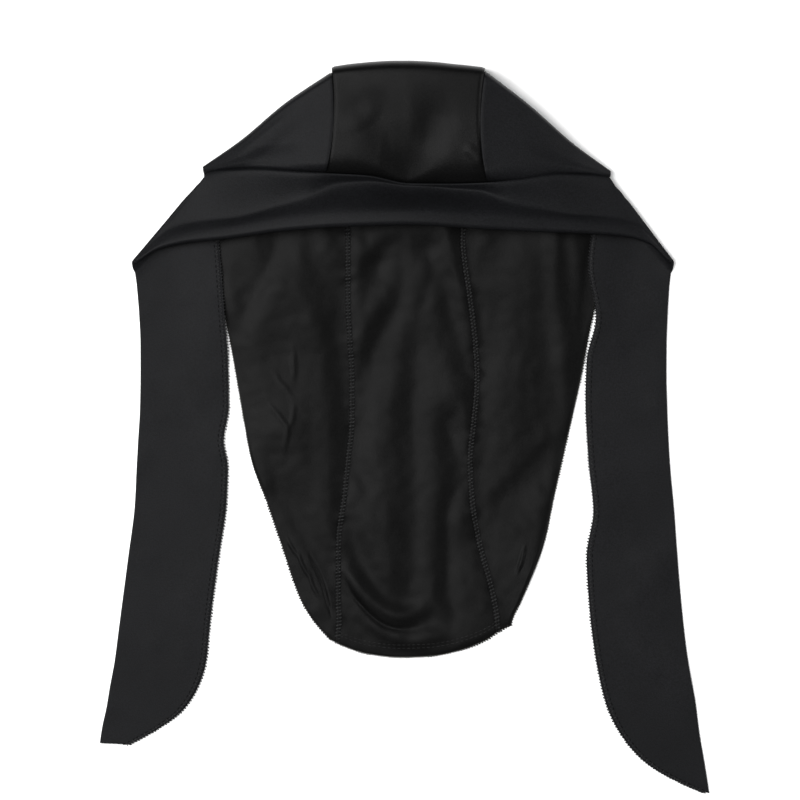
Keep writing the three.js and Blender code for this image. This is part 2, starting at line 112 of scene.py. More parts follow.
TOP_FOLD_DROP = 6  # how far in from the fold the back layer reaches the surface
SHOULDER_BEND = 0.55  # below 1 the cloth keeps level for longer before it turns down at the fold
FRONT_ROWS, SHOULDER_ROWS, UNDER_ROWS, BACK_ROWS = 70, 18, 8, 250


def table(columns, *rows):
    return [dict(zip(columns.split(), row)) for row in rows]


def course(rows, along, column):
    """One column of a table as a smooth function of another, with no overshoot."""
    at = np.array([row[along] for row in rows], float)
    value = np.array([row[column] for row in rows], float)
    secant = np.diff(value) / np.diff(at)
    slope = np.empty_like(value)
    slope[0], slope[-1] = secant[0], secant[-1]
    total = secant[:-1] + secant[1:]
    product = secant[:-1] * secant[1:]
    slope[1:-1] = np.where(product > 0, 2 * product / np.where(total == 0, 1, total), 0)

    def value_at(place):
        place = np.clip(place, at[0], at[-1])
        i = np.clip(np.searchsorted(at, place, side="right") - 1, 0, len(at) - 2)
        span = at[i + 1] - at[i]
        t = (place - at[i]) / span
        rise = t * t * (3 - 2 * t)
        bend = t * (1 - t) * span * ((1 - t) * slope[i] - t * slope[i + 1])
        return value[i] * (1 - rise) + value[i + 1] * rise + bend

    return value_at


def courses(rows, along):
    return {name: course(rows, along, name) for name in rows[0] if name != along}


def mix(a, b, t):
    return a + (b - a) * t


def eased(t):
    t = np.clip(t, 0, 1)
    return t * t * (3 - 2 * t)


def curve_points(path, steps=10):
    """Points along a smooth curve through the corners of a path."""
    corners = np.array(path, float)
    padded = np.vstack([2 * corners[0] - corners[1], corners, 2 * corners[-1] - corners[-2]])
    points = []
    for i in range(1, len(padded) - 2):
        a, b, c, d = padded[i - 1 : i + 3]
        for t in np.arange(steps) / steps:
            points.append(
                b + t * (c - a) / 2 + t * t * (a - 2.5 * b + 2 * c - d / 2)
                + t * t * t * (1.5 * (b - c) + (d - a) / 2)
            )
    return np.array(points + [corners[-1]])


def unit(vectors):
    return vectors / np.maximum(np.linalg.norm(vectors, axis=-1, keepdims=True), 1e-9)


def gone_along(grid, axis):
    """How far each line of a grid of points has run, from its first point."""
    steps = np.linalg.norm(np.diff(grid, axis=axis), axis=-1)
    start = np.zeros_like(np.take(steps, [0], axis))
    return np.concatenate([start, np.cumsum(steps, axis=axis)], axis=axis)


def fold_height(fold, x, y):
    """Height of one fold at x, y. It fades to nothing across both slopes, and at its ends.

    left and right are the widths of the slopes as seen along the path.
    """
    points = curve_points(fold["path"])
    legs = np.diff(points, axis=0)
    lengths = np.linalg.norm(legs, axis=1)
    passed = gone_along(points, 0)
    far = np.full(x.shape, 1e9)
    side = np.zeros(x.shape)
    along = np.zeros(x.shape)
    for start, leg, length, before in zip(points, legs, lengths, passed):
        dx, dy = x - start[0], y - start[1]
        share = np.clip((dx * leg[0] + dy * leg[1]) / length**2, 0, 1)
        gap = np.hypot(dx - share * leg[0], dy - share * leg[1])
        nearer = gap < far
        far = np.where(nearer, gap, far)
        side = np.where(nearer, (leg[0] * dy - leg[1] * dx) / length, side)
        along = np.where(nearer, (before + share * length) / passed[-1], along)
    width = mix(fold["right"], fold["left"], eased(side + 0.5))
    slope = np.clip(1 - (far / width) ** 2, 0, 1) ** 2
    ends = mix(fold.get("ends", FOLD_ENDS), 1, eased(3 * np.minimum(along, 1 - along)))
    return fold["height"] * ends * slope


BROW_SEAM = table(
    "x y z",
    (-108.6, 137.6, 7.0),
    (-96, 139.2, 12.5),
    (-81, 139.6, 17.0),
    (-58, 138.0, 22.0),
    (-42.4, 137.2, 23.6),
    (-20, 136.0, 22.4),
    (3, 131.8, 20.0),
    (24, 131.6, 21.4),
    (44.6, 132.2, 22.2),
    (62, 133.8, 20.4),
    (84, 136.8, 16.2),
    (98, 136.6, 12.0),
    (111.2, 135.4, 7.0),
)
CENTRE_FRONT = table(
    "at seam_x fold_x fold_y bow edge_z ridge ridge_z dip_z shoulder_z shoulder",
    (0, -42.4, -39.2, 194.6, 2.6, 5.0, 0.2, 27.5, 28.4, 29.4, 6),
    (0.14, -30.2, -28, 196.2, 2.0, 5.1, 0.22, 27.8, 28.7, 30.4, 6.5),
    (0.315, -15, -13.3, 197.5, 1.2, 5.2, 0.13, 26.4, 28.6, 31.0, 7),
    (0.4, -7.6, -6.2, 197.8, 0.6, 5.3, 0.08, 24.0, 28.8, 31.2, 7),
    (0.51, 2, 2.4, 197.8, 0, 5.4, 0.03, 21.4, 29.0, 31.4, 7),
    (0.58, 8.1, 8.3, 197.6, -0.5, 5.3, 0.09, 23.6, 28.7, 31.4, 7),
    (0.68, 16.8, 16.6, 197.1, -1.2, 5.3, 0.2, 26.4, 28.4, 31.3, 7),
    (0.8, 27.2, 26.6, 196, -2, 5.2, 0.3, 27.9, 28.8, 31.0, 6.5),
    (0.855, 32, 31.2, 195.6, -2.3, 5.1, 0.31, 28.0, 29.0, 30.8, 6.5),
    (0.97, 42, 40.9, 194.5, -3, 5.0, 0.27, 27.9, 29.0, 30.4, 6),
    (1, 44.6, 43.4, 194.2, -3.2, 5.0, 0.24, 27.7, 28.8, 30.0, 6),
)
BACK = table(
    "y hem_left seam_left seam_right hem_right",
    (-117, -38, -36.4, 50.6, 55.7),
    (-104, -49.4, -35.4, 50, 58.2),
    (-93, -56, -35.8, 48.3, 63.3),
    (-61, -67.2, -35.6, 40.2, 75.7),
    (-39, -74.8, -32.7, 36.5, 80.3),
    (-18, -82.4, -30.5, 35.4, 85.2),
    (4, -86.7, -28.4, 37.5, 90.1),
    (26, -90.5, -28.4, 39.2, 94.9),
    (47, -94.2, -29.4, 38.1, 98.7),
    (69, -98.6, -30.5, 35.4, 103.2),
    (101, -104, -30.5, 31.6, 106.6),
    (150, -108.6, -36, 39, 111.4),
    (198, -108.6, -40, 44.2, 111.4),
)
TAIL_EDGE = table(
    "x y",
    (-40, -114.6),
    (-36.4, -116.6),
    (-19, -122.4),
    (-2.4, -124.1),
    (14, -123.5),
    (30, -120.4),
    (44.5, -114.8),
    (51, -110.4),
    (56, -107.4),
)
# Dents and swells of the crown's front, added to its sections
FRONT_FOLDS = table(
    "height left right path ends",
    (-0.3, 9, 9, [(-30, 184), (-28, 178), (-26, 172)], 1),
    (0.35, 9, 7, [(-36, 162), (-26, 164), (-18, 171), (-15, 180)]),
    (-0.45, 13, 13, [(-20, 184), (-13, 164), (-5, 146)]),
    (-0.35, 13, 13, [(24, 176), (17, 160), (10, 146)]),
    (0.35, 8, 8, [(4, 182), (5, 160), (3.5, 138)]),
    (0.5, 5, 4, [(31, 152), (37, 147), (42, 139)]),
    (0.9, 6, 9, [(-100, 141), (-86, 150), (-70, 161), (-56, 174)]),
    (-0.7, 8, 8, [(-88, 143), (-70, 145), (-52, 147)]),
    (0.6, 9, 9, [(58, 172), (70, 158), (88, 147)]),
)
# How far the cloth of the back stands off the table along its folds. Each line is a crest,
# an edge or a hollow that runs from the brow to the tail, and the cloth passes smoothly
# from one line to the next.
SEAM_RISE_LEFT = [  # y, rise
    (105.6, 0.8), (90.5, 1), (74.2, 1.2), (58.1, 1.7), (44.6, 1.7), (25.7, 1.3), (-1.4, 1),
    (-39.2, 1.2), (-66.2, 1), (-93.2, 0.9), (-117.5, 0.6),
]
SEAM_RISE_RIGHT = [  # y, rise
    (105.6, 0.8), (90.5, 0.8), (68.9, 1), (44.6, 1.6), (25.7, 1.4), (-1.4, 1.8), (-23, 1.4),
    (-50, 1.6), (-71.6, 1.6), (-93.2, 1.8), (-114.8, 0.8),
]
CENTRE_FOLD_LINES = {  # y, x, rise
    "beside the left seam": [
        (106.7, -26.2, 2.2), (98.6, -25.7, 3.6), (89.4, -26.2, 3.8), (77, -26.7, 3.4),
        (66.2, -26.7, 3.4), (55.4, -26.2, 4.4), (44.6, -25.7, 4.6), (35.4, -26.7, 3),
        (23, -27.3, 1.4), (-6.8, -27.3, 0.9), (-16.5, -28.4, 0.8), (-31.1, -29.4, 2.4),
        (-39.2, -29.4, 3), (-47.2, -30, 1.6), (-71.6, -32.1, 0.8), (-114.8, -32.1, 0.6),
    ],
    "hollow beside the seam": [
        (106.7, -20.8, 1.6), (98.6, -16.5, 0.6), (89.4, -13.8, 0.4), (80.7, -14.9, 0.5),
        (73.2, -18.1, 1.4), (66.2, -21.3, 2.6), (60.8, -23, 3.6), (52.7, -23.5, 4.4),
        (44.6, -24, 4.6), (35.4, -25.1, 2.6), (23, -25.7, 1), (-6.8, -25.7, 0.5),
        (-23, -25.1, 1.6), (-33.8, -24, 3.4), (-41.9, -24, 3.4), (-47.2, -26.7, 1.8),
        (-60.8, -29.4, 0.5), (-93.2, -28.4, 0.6),
    ],
    "left branch": [
        (106.7, -11.1, 3), (98.6, -8.4, 1.3), (91.5, -6.8, 1.3), (81.8, -7.8, 1.6),
        (74.2, -10, 2.4), (67.8, -13.8, 4.22), (60.8, -17.6, 4.36), (53.2, -20.8, 4.5),
        (46.2, -22.4, 4.22), (39.2, -23.8, 3.37), (31.1, -24.3, 2.09), (23, -24.6, 1.45),
        (-6.8, -24.6, 1.12), (-23, -23, 1.41), (-30.5, -21.9, 1.52), (-39.2, -20.8, 2.8),
        (-47.2, -25.7, 2.64), (-60.8, -27.8, 0.9), (-93.2, -24, 0.5),
    ],
    "hollow right of the branch": [
        (106.7, -4.6, 3.15), (98.6, -2.4, 1.18), (89.4, 0.8, 1.02), (79.7, -0.3, 0.98),
        (68.9, -3, 0.96), (60.8, -6.2, 0.96), (52.7, -11.1, 0.96), (46.2, -14.9, 0.96),
        (39.2, -19.2, 0.96), (31.1, -22.4, 0.96), (14.9, -23.5, 0.89), (-1.4, -23.5, 0.87),
        (-12.2, -24.3, 0.9), (-23, -21.3, 1.28), (-30.5, -19.7, 1.39), (-39.2, -19.7, 2.78),
        (-47.2, -24, 3.09), (-60.8, -25.1, 0.82), (-68.9, -23, 0.73), (-79.7, -17.6, 0.56),
        (-93.2, -12.2, 0.6),
    ],
    "left edge of the lobe": [
        (106.7, -0.3, 3.17), (98.6, 3, 1.68), (89.4, 6.8, 2.1), (81.8, 4.6, 2.33),
        (72.1, 0.8, 2.37), (60.8, -3, 2.38), (48.9, -7.8, 2.38), (39.2, -11.1, 2.46),
        (31.1, -13.2, 2.63), (14.3, -14.9, 2.8), (3.5, -16.5, 3.05), (-4.6, -20.2, 3.43),
        (-11.6, -22.4, 3.85), (-18.6, -22.4, 3.92), (-25.7, -18.1, 3.81), (-33.8, -16.5, 3.79),
        (-41.9, -19.2, 4.06), (-50, -22.4, 4.2), (-58.6, -20.8, 4.22), (-68.9, -16.5, 4.11),
        (-78, -10.5, 3.91), (-87.8, -7.8, 1.8), (-98.6, -5.7, 1),
    ],
    "right edge of the lobe": [
        (106.7, 8.4, 3.17), (98.6, 10.5, 1.96), (89.4, 11.6, 2.7), (81.8, 10, 3.08),
        (72.1, 6.8, 3.23), (60.8, 3.5, 3.3), (48.9, -0.8, 3.39), (39.2, -3, 3.56),
        (14.3, -6.2, 3.64), (-4.6, -8.9, 3.79), (-11.6, -9.5, 3.85), (-25.7, -8.9, 4.14),
        (-41.9, -8.9, 4.62), (-58.6, -8.4, 4.74), (-71.6, -7.3, 4.25), (-81.3, -6.2, 3.84),
        (-90.5, -4.6, 1.4), (-99.6, -2.4, 1),
    ],
    "middle valley": [
        (106.7, 13.8, 2.94), (98.6, 14.9, 1.08), (89.4, 15.9, 1.35), (75.3, 13.2, 1.44),
        (67.8, 10.5, 1.44), (60.8, 8.4, 1.44), (48.9, 7.6, 1.36), (39.2, 6.8, 1.28),
        (25.7, 6.2, 1.28), (14.3, 6.2, 1.28), (3.5, 6.2, 1.27), (-7.8, 6.5, 1.27),
        (-18.6, 6.8, 1.39), (-35.4, 6.8, 1.45), (-50, 6.5, 1.82), (-66.2, 6.2, 1.94),
        (-82.4, 4.1, 1.31), (-93.2, 1.9, 0.8),
    ],
    "left edge of the long ridge": [
        (106.7, 17, 3.17), (98.6, 18.1, 1.68), (89.4, 19.2, 2.2), (75.3, 16.5, 2.35),
        (64.5, 12.7, 2.38), (55.9, 11.1, 2.38), (46.2, 10.5, 2.46), (36.5, 9.7, 2.55),
        (23, 8.9, 2.72), (8.9, 8.6, 2.8), (-1.9, 8.4, 2.98), (-18.6, 8.4, 3.21),
        (-35.4, 8.9, 3.42), (-50, 8.9, 3.56), (-71.6, 9.5, 3.72), (-87.8, 11.6, 3.8),
        (-95.9, 13.8, 2.8), (-104, 17, 1.6),
    ],
    "right edge of the long ridge": [
        (106.7, 19.2, 3.74), (98.6, 19.2, 2.04), (89.4, 20.2, 2.32), (75.3, 19.2, 2.58),
        (64.5, 18.1, 2.91), (55.9, 19.2, 3.12), (46.2, 21.3, 3.34), (36.5, 23.5, 3.55),
        (28.4, 24, 4.8), (20.2, 24, 5.4), (14.3, 23, 5.2), (6.8, 19.2, 3.66), (-1.9, 18.1, 3.58),
        (-18.6, 18.6, 3.89), (-35.4, 19.2, 4.33), (-50, 18.1, 4.36), (-71.6, 18.1, 4.26),
        (-87.8, 17.6, 4.2), (-95.9, 19.7, 2.8), (-104, 22.4, 1.4),
    ],
    "right valley": [
        (106.7, 19.7, 4.6), (95.9, 20.8, 4.2), (87.2, 23, 2.6), (75.3, 24.6, 1.2),
        (64.5, 26.2, 0.8), (55.9, 28.4, 0.8), (46.2, 31.1, 0.8), (36.5, 32.1, 1.2),
        (28.4, 31.6, 2.4), (20.2, 28.9, 5), (14.3, 26.2, 4.6), (6.8, 23, 2.4), (3.5, 22.4, 1.4),
        (-7.8, 25.7, 0.6), (-18.6, 28.9, 0.8), (-28.4, 28.4, 0.8), (-35.4, 26.2, 0.5),
        (-46.2, 23, 0.3), (-65.1, 23, 0.3), (-85.1, 23, 0.4), (-98, 24.6, 0.7),
    ],
    "right leg of the arch": [
        (106.7, 21.3, 5), (98.6, 22.4, 5.2), (89.4, 24.6, 5.2), (77.5, 27.3, 5.2), (67.8, 30, 5),
        (60.8, 31.6, 4.6), (51, 33.8, 4), (44.6, 34.8, 3.2), (36.5, 34.3, 2), (28.4, 32.7, 3),
        (20.2, 31.1, 5), (14.3, 31.6, 5.2), (6.2, 33.2, 5), (-1.9, 33.8, 4.4), (-10.5, 33.8, 3.4),
        (-17.6, 33.8, 2.2), (-28.4, 33.8, 1.6), (-37.5, 31.6, 2.8), (-48.9, 28.9, 3.8),
        (-56.4, 28.9, 3.6), (-63.5, 28.9, 2.4), (-71.6, 28.9, 2.8), (-82.4, 28.9, 3.6),
        (-93.2, 28.9, 3.4), (-101.2, 30, 2.6),
    ],
    "outer edge of the arch's leg": [
        (106.7, 25.7, 4.8), (98.6, 26.7, 5), (89.4, 30, 4.8), (77.5, 33.2, 4.6), (68.9, 35.4, 4.2),
        (60.8, 36.5, 3.4), (51, 37, 2.8), (44.6, 37.5, 2), (28.4, 37, 1.6), (14.9, 36.5, 2.8),
        (-1.4, 36.5, 2.8), (-17.6, 35.9, 1.6), (-37.5, 34.3, 2.4), (-48.9, 33.2, 3.2),
        (-56.4, 34.3, 2.6), (-63.5, 37.5, 2.2), (-71.6, 40.8, 2.6), (-93.2, 43.5, 3),
        (-101.2, 44, 2.6),
    ],
}
LEFT_FOLD_LINES = {  # y, x, rise
    "hem strip": [
        (105.6, -97.5, 5.2), (77, -96.9, 4.6), (63.5, -95.3, 3.6), (52.7, -93.2, 2.6),
        (44.6, -90.5, 2.2), (23, -85.6, 2.4), (4.1, -81.3, 2.2), (-21.3, -77, 2),
        (-33.8, -73.7, 2.2), (-45.1, -67.2, 2.3), (-58.1, -59.7, 2.3), (-69.4, -53.2, 2.3),
        (-79.7, -47.2, 2.2), (-91, -41.3, 1.8), (-101.2, -38.6, 1),
    ],
    "facet under the tie": [
        (105.6, -73.7, 1.6), (93.7, -74.8, 1.4), (84.5, -78, 1.4), (77, -80.7, 1.6),
        (68.9, -85.1, 2), (60.2, -87.8, 2), (51.6, -88.8, 1.6), (44.6, -88.8, 2),
        (36.5, -86.7, 2.6), (23, -83.4, 2.8), (4.1, -79.1, 2.4), (-12.2, -76.4, 1.6),
        (-21.3, -75.3, 1.1), (-33.8, -72.1, 1), (-45.1, -65.6, 0.8), (-58.1, -58.1, 0.8),
        (-69.4, -51.6, 0.8), (-79.7, -45.6, 0.9), (-91, -39.7, 0.8), (-101.2, -37, 0.7),
    ],
    "crease": [
        (105.6, -66.7, 0.6), (93.7, -69.9, 0.4), (89.4, -71.8, 0.4), (82.4, -73.4, 0.4),
        (77, -75.9, 0.4), (68.9, -81, 0.4), (60.2, -84.5, 0.6), (52.7, -87.2, 1), (44.6, -87.8, 2),
        (36.5, -85.1, 2.8), (23, -81.3, 3), (4.1, -76.4, 2.4), (-12.2, -73.7, 1.2),
        (-21.3, -71.6, 0.5), (-33.8, -67.2, 0.2), (-45.1, -61.3, 0.1), (-58.1, -54.3, 0.1),
        (-69.4, -48.3, 0.1), (-79.7, -42.9, 0.2), (-91, -37.5, 0.4),
    ],
    "left edge of the cone": [
        (105.6, -62.4, 2), (93.7, -65.6, 2.8), (82.4, -69.9, 4), (74.2, -73.7, 5),
        (68.9, -77.5, 5), (60.2, -81.3, 4.8), (52.7, -84, 4.4), (44.6, -85.1, 4),
        (33.8, -82.4, 3.8), (20.2, -78.6, 3.6), (4.1, -69.4, 3.4), (-12.2, -60.8, 3.4),
        (-21.3, -55.4, 3.8), (-33.8, -50, 3.8), (-45.1, -45.6, 3.6), (-58.1, -41.3, 3),
        (-69.4, -38.1, 1.8), (-79.7, -36.5, 0.8),
    ],
    "right edge of the cone": [
        (105.6, -58.6, 2.4), (93.7, -57.5, 3.4), (82.4, -56.4, 4.8), (68.9, -53.2, 5.8),
        (60.2, -51, 5.8), (47.2, -46.7, 5.6), (36.5, -44, 5.2), (20.2, -41.3, 4.8),
        (9.5, -40.8, 4.6), (-1.4, -40.8, 4.6), (-28.4, -39.7, 4.2), (-50, -38.6, 3.4),
        (-71.6, -37, 1.2),
    ],
    "foot of the cone": [
        (105.6, -48.9, 1.6), (93.7, -46.7, 1.8), (82.4, -44.6, 2.2), (68.9, -41.3, 2.4),
        (60.2, -39.7, 2.4), (47.2, -37.5, 2.2), (36.5, -35.9, 1.8), (20.2, -33.8, 1.4),
        (9.5, -32.7, 1.4), (-6.8, -32.7, 1.6), (-28.4, -34.3, 1.6), (-50, -36.5, 1.4),
        (-71.6, -35.9, 0.8),
    ],
    "flap beside the seam": [
        (106.1, -46.2, 3.8), (99.6, -43.5, 4.2), (90.5, -39.2, 3.6), (86.1, -35.4, 2.6),
        (77, -33.2, 1.2), (58.1, -31.6, 1.6), (44.6, -31.1, 1.8), (25.7, -31.1, 1.2),
        (-1.4, -31.1, 1.1), (-28.4, -33.8, 1.1), (-71.6, -35.4, 0.8),
    ],
}
RIGHT_FOLD_LINES = {  # y, x, rise
    "hollow beside the seam": [
        (105.6, 46.2, 3), (98.6, 42.9, 2.8), (93.2, 40.2, 2.4), (88.8, 38.6, 1.8),
        (85.1, 38.1, 1.2), (68.9, 38.1, 1), (58.1, 39.2, 1), (50, 41.3, 0.8), (25.7, 42.4, 0.6),
        (-1.4, 42.4, 0.5), (-17.6, 41.3, 0.4), (-33.8, 40.8, 0.4), (-44.6, 40.8, 0.6),
        (-60.8, 41.9, 0.9), (-82.4, 47.2, 1), (-104, 51.6, 0.8),
    ],
    "left edge of the upper swell": [
        (105.6, 54.8, 1.8), (98.6, 51, 1.7), (93.2, 47.8, 1.7), (88.8, 44.6, 1.7),
        (85.1, 42.4, 1.6), (68.3, 42.4, 1.6), (58.1, 45.1, 2.2), (50, 50, 3.2), (41.9, 51.6, 3.7),
        (33.8, 51.6, 3.5), (25.7, 49.4, 2.8), (9.5, 47.8, 2.4), (-6.8, 47.8, 1.6),
        (-17.6, 47.2, 1.4), (-25.7, 45.1, 1), (-39.2, 44, 1.6), (-60.8, 47.2, 2),
        (-82.4, 52.7, 1.8), (-104, 55.4, 0.8),
    ],
    "right edge of the upper swell": [
        (105.6, 62.4, 2.2), (85.1, 58.1, 2.6), (68.9, 57, 3.2), (50, 60.8, 3.9), (41.9, 61.8, 4.2),
        (33.8, 61.3, 4.1), (25.7, 60.2, 3.8), (4.1, 60.2, 3.4), (-6.8, 58.6, 2.8),
        (-17.6, 56.4, 1.8), (-39.2, 57, 2.4), (-60.8, 57, 2.8), (-82.4, 59.1, 2),
        (-104, 58.1, 0.8),
    ],
    "foot of the upright fold": [
        (105.6, 75.9, 2.8), (85.1, 77, 2.9), (68.3, 77.5, 2.9), (48.3, 79.1, 2.8),
        (34.8, 80.7, 2.4), (20.2, 82.4, 1.6), (4.1, 82.4, 0.8), (-6.8, 78.6, 1.8),
        (-23, 73.2, 2.4), (-39.2, 68.9, 3), (-60.8, 64.5, 3), (-82.4, 62.4, 2.4),
        (-104, 60.2, 0.8),
    ],
    "left edge of the upright fold": [
        (105.6, 78.6, 4.6), (87.8, 79.7, 5), (68.3, 80.7, 5), (48.3, 82.4, 4.6), (34.8, 84, 4),
        (24.6, 86.1, 2.8), (17.6, 87.2, 1.8), (4.1, 86.1, 1.8), (-6.8, 81.8, 2.4),
        (-23, 78.6, 3.2), (-39.2, 75.9, 3.6), (-60.8, 71, 3.4),
    ],
    "right edge of the upright fold": [
        (105.6, 84, 4.6), (93.2, 87.2, 5), (74.8, 87.8, 5), (51.6, 88.8, 4.6), (34.8, 88.3, 4),
        (25.1, 88.8, 2.6), (17.6, 89.4, 1.6), (4.1, 88.3, 1.8), (-6.8, 84, 2.4), (-23, 81.8, 3.2),
        (-39.2, 78.6, 3.6), (-60.8, 73.7, 3.4),
    ],
    "hollow under the tie": [
        (105.6, 91.5, 0.8), (87.8, 93.7, 0.7), (68.3, 94.2, 0.7), (47.2, 93.7, 0.8),
        (25.1, 91, 0.9), (17.6, 90.5, 1), (4.1, 89.4, 1.4), (-6.8, 86.1, 1.8), (-39.2, 80.7, 2.4),
        (-60.8, 76.4, 2.4),
    ],
}
# Creases and swells that run across those lines. The narrow ones stay crisp.
CROSS_FOLDS = table(
    "height left right path ends",
    (1.4, 4.5, 4.5, [(-13.2, 107.2), (-14.9, 100.7), (-18.6, 95.9), (-23, 92.1)]),
    (-1.2, 8, 8, [(-10, 97.5), (-13.8, 89.4), (-18.1, 78)]),
    (-1.6, 6, 6, [(8.4, 101.2), (10.5, 94.8), (13.8, 89.4)]),
    (3.8, 6, 4.2, [
        (-33.8, -63.5), (-31.1, -75.9), (-24.6, -87.2), (-14.3, -97.7), (-3.5, -102.6),
        (4.6, -101.8), (10.5, -96.9), (15.4, -91.5),
    ]),
    (-0.9, 1.8, 1.8, [
        (-32.1, -82.4), (-26.2, -92.6), (-15.4, -104), (-5.1, -108.8), (8.4, -108.3),
    ]),
    (2.5, 5, 5, [
        (-31.1, -87.8), (-24.6, -99.6), (-14.3, -108.8), (-4.1, -113.4), (5.7, -115),
        (15.9, -112.6), (25.7, -112.1), (33.2, -107.7),
    ]),
    (2, 3, 3, [(15.9, -93.2), (19.7, -97.5), (22.7, -104), (25.7, -108.8)]),
    (-1.6, 20, 6, [(90.5, 1.9), (79.7, -11.6), (66.7, -26.2), (50.5, -38.6), (41.9, -46.2)]),
    (-1.2, 2.4, 2.4, [(73.7, -31.6), (75.3, -30), (77.5, -29.4)]),
    (1, 2.2, 2.2, [(77, -25.1), (72.6, -28.4), (71.6, -33.8), (73.2, -41.9)]),
    (0.9, 1.2, 1.2, [(65.1, -64), (63.5, -71.6), (60.8, -79.1)]),
    (0.5, 1.6, 1.2, [(-60.8, 45.1), (-60, 35.4), (-60.2, 23.5)]),
    (0.4, 1.6, 1.2, [(-71, 31.6), (-68, 25.1), (-64.5, 21.3), (-60.2, 14.9)]),
    (0.45, 1.7, 1.3, [
        (-75.9, 17), (-72.6, 11.6), (-67.8, 5.7), (-63.5, -0.8), (-65.1, -11.1), (-65.6, -18.1),
    ]),
    (0.4, 1.6, 1.2, [(-59.7, 14.9), (-60.8, 4.1), (-63.5, -0.8)]),
    (0.4, 1.3, 1.1, [(-64.5, -58), (-61.2, -64.5), (-56.4, -71.6)]),
    (0.45, 1.3, 1.1, [(-58, -66.2), (-55.2, -74.6), (-50.5, -82.4)]),
    (0.4, 1.3, 1.1, [(-52.1, -77), (-49.8, -85.4), (-45.6, -93.2)]),
    (-1.3, 1.4, 1, [(-51.6, -68.3), (-47.2, -77.5), (-43.5, -86.7), (-39.7, -101.8)]),
)
seam_line = courses(BROW_SEAM, "x")
back_line = courses(BACK, "y")
tail_line = course(TAIL_EDGE, "x", "y")


def grain(points, size, seed):
    """Smooth noise from -1 to 1 at each point of a grid, size millimetres from crest to crest."""
    flat = points.reshape(-1, points.shape[-1]) / size + seed
    if flat.shape[1] == 2:
        flat = np.column_stack([flat, np.full(len(flat), seed)])
    return np.array([noise.noise(Vector(p)) for p in flat]).reshape(points.shape[:-1])


def line_course(pairs):
    """A course through pairs of place and value, in any order."""
    return course([{"at": at, "value": value} for at, value in sorted(pairs)], "at", "value")


def cloth_between(lines, near, far, x, y):
    """Rise of one panel at x, y. near and far give the place and rise of its two sides."""
    places, rises = [near[0](y)], [near[1](y)]
    for line in lines.values():
        place = line_course([(at, x_there) for at, x_there, rise in line])(y)
        places.append(np.maximum(place, places[-1] + LEAST_GAP))
        rises.append(line_course([(at, rise) for at, x_there, rise in line])(y))
    places.append(np.maximum(far[0](y), places[-1] + LEAST_GAP))
    rises.append(far[1](y))
    result = np.broadcast_to(rises[0], x.shape).copy()
    for i in range(len(places) - 1):
        share = np.clip((x - places[i]) / (places[i + 1] - places[i]), 0, 1)
        result = np.where(x >= places[i], mix(rises[i], rises[i + 1], share), result)
    return result


def softened(field, reach):
    """A field of heights with its sharp turns rounded off, as cloth would bend."""
    steps = np.arange(-3 * reach, 3 * reach + 1)
    weights = np.exp(-0.5 * (steps / reach) ** 2)
    weights /= weights.sum()
    for axis in (0, 1):
        pad = [(0, 0), (0, 0)]
        pad[axis] = (3 * reach, 3 * reach)
        wide = np.pad(field, pad, mode="edge")
        count = field.shape[axis]
        field = sum(w * np.take(wide, np.arange(count) + k, axis) for k, w in enumerate(weights))
    return field


MAP_STEP = 0.75
MAP_LEFT, MAP_FOOT = -116, -132
map_x, map_y = np.meshgrid(np.arange(MAP_LEFT, 118, MAP_STEP), np.arange(MAP_FOOT, 206, MAP_STEP))
map_places = np.stack([map_x, map_y], -1)
left_seam = (back_line["seam_left"], line_course(SEAM_RISE_LEFT))
right_seam = (back_line["seam_right"], line_course(SEAM_RISE_RIGHT))
left_hem = (back_line["hem_left"], lambda y: np.full(y.shape, HEM_RISE))
right_hem = (back_line["hem_right"], left_hem[1])
centre_rise = cloth_between(CENTRE_FOLD_LINES, left_seam, right_seam, map_x, map_y)
left_rise = cloth_between(LEFT_FOLD_LINES, left_hem, left_seam, map_x, map_y)
right_rise = cloth_between(RIGHT_FOLD_LINES, right_seam, right_hem, map_x, map_y)
rise_map = np.where(map_x < left_seam[0](map_y), left_rise, centre_rise)
rise_map = np.where(map_x > right_seam[0](map_y), right_rise, rise_map) * FOLD_SHARE
wide_folds = [fold for fold in CROSS_FOLDS if fold["left"] > CRISP]
crisp_folds = [fold for fold in CROSS_FOLDS if fold["left"] <= CRISP]
rise_map += sum(fold_height(fold, map_x, map_y) for fold in wide_folds)
rise_map = softened(rise_map, SOFTNESS)
rise_map += sum(fold_height(fold, map_x, map_y) for fold in crisp_folds)
rise_map += sum(height * grain(map_places, size, seed) for height, size, seed in BACK_WAVES)
for seam, seed in ((left_seam, 20), (right_seam, 30)):
    beside = np.exp(-(((map_x - seam[0](map_y)) / PUCKER_REACH) ** 2))
    rise_map += 0.5 * beside * grain(np.stack([map_x / 3, map_y], -1), 5, seed)
to_hem = np.minimum(map_x - back_line["hem_left"](map_y), back_line["hem_right"](map_y) - map_x)
rise_map += CLIMB * eased((map_y - 35) / 75) * eased(to_hem / 22 - 0.15)
# The edges lie flat, and nothing goes below the table
rise_map *= eased(to_hem / 3 + 0.45) * eased((map_y - tail_line(map_x)) / 8 + 0.5)
rise_map = 0.5 * (rise_map + np.sqrt(rise_map**2 + 0.15))


def back_height(x, y):
    """Height of the back layer's middle over the table."""
    across = np.clip((x - MAP_LEFT) / MAP_STEP, 0, rise_map.shape[1] - 1.001)
    up = np.clip((y - MAP_FOOT) / MAP_STEP, 0, rise_map.shape[0] - 1.001)
    i, j = up.astype(int), across.astype(int)
    u, v = up - i, across - j
    near = mix(rise_map[i, j], rise_map[i, j + 1], v)
    far = mix(rise_map[i + 1, j], rise_map[i + 1, j + 1], v)
    return CLOTH / 2 + mix(near, far, u)


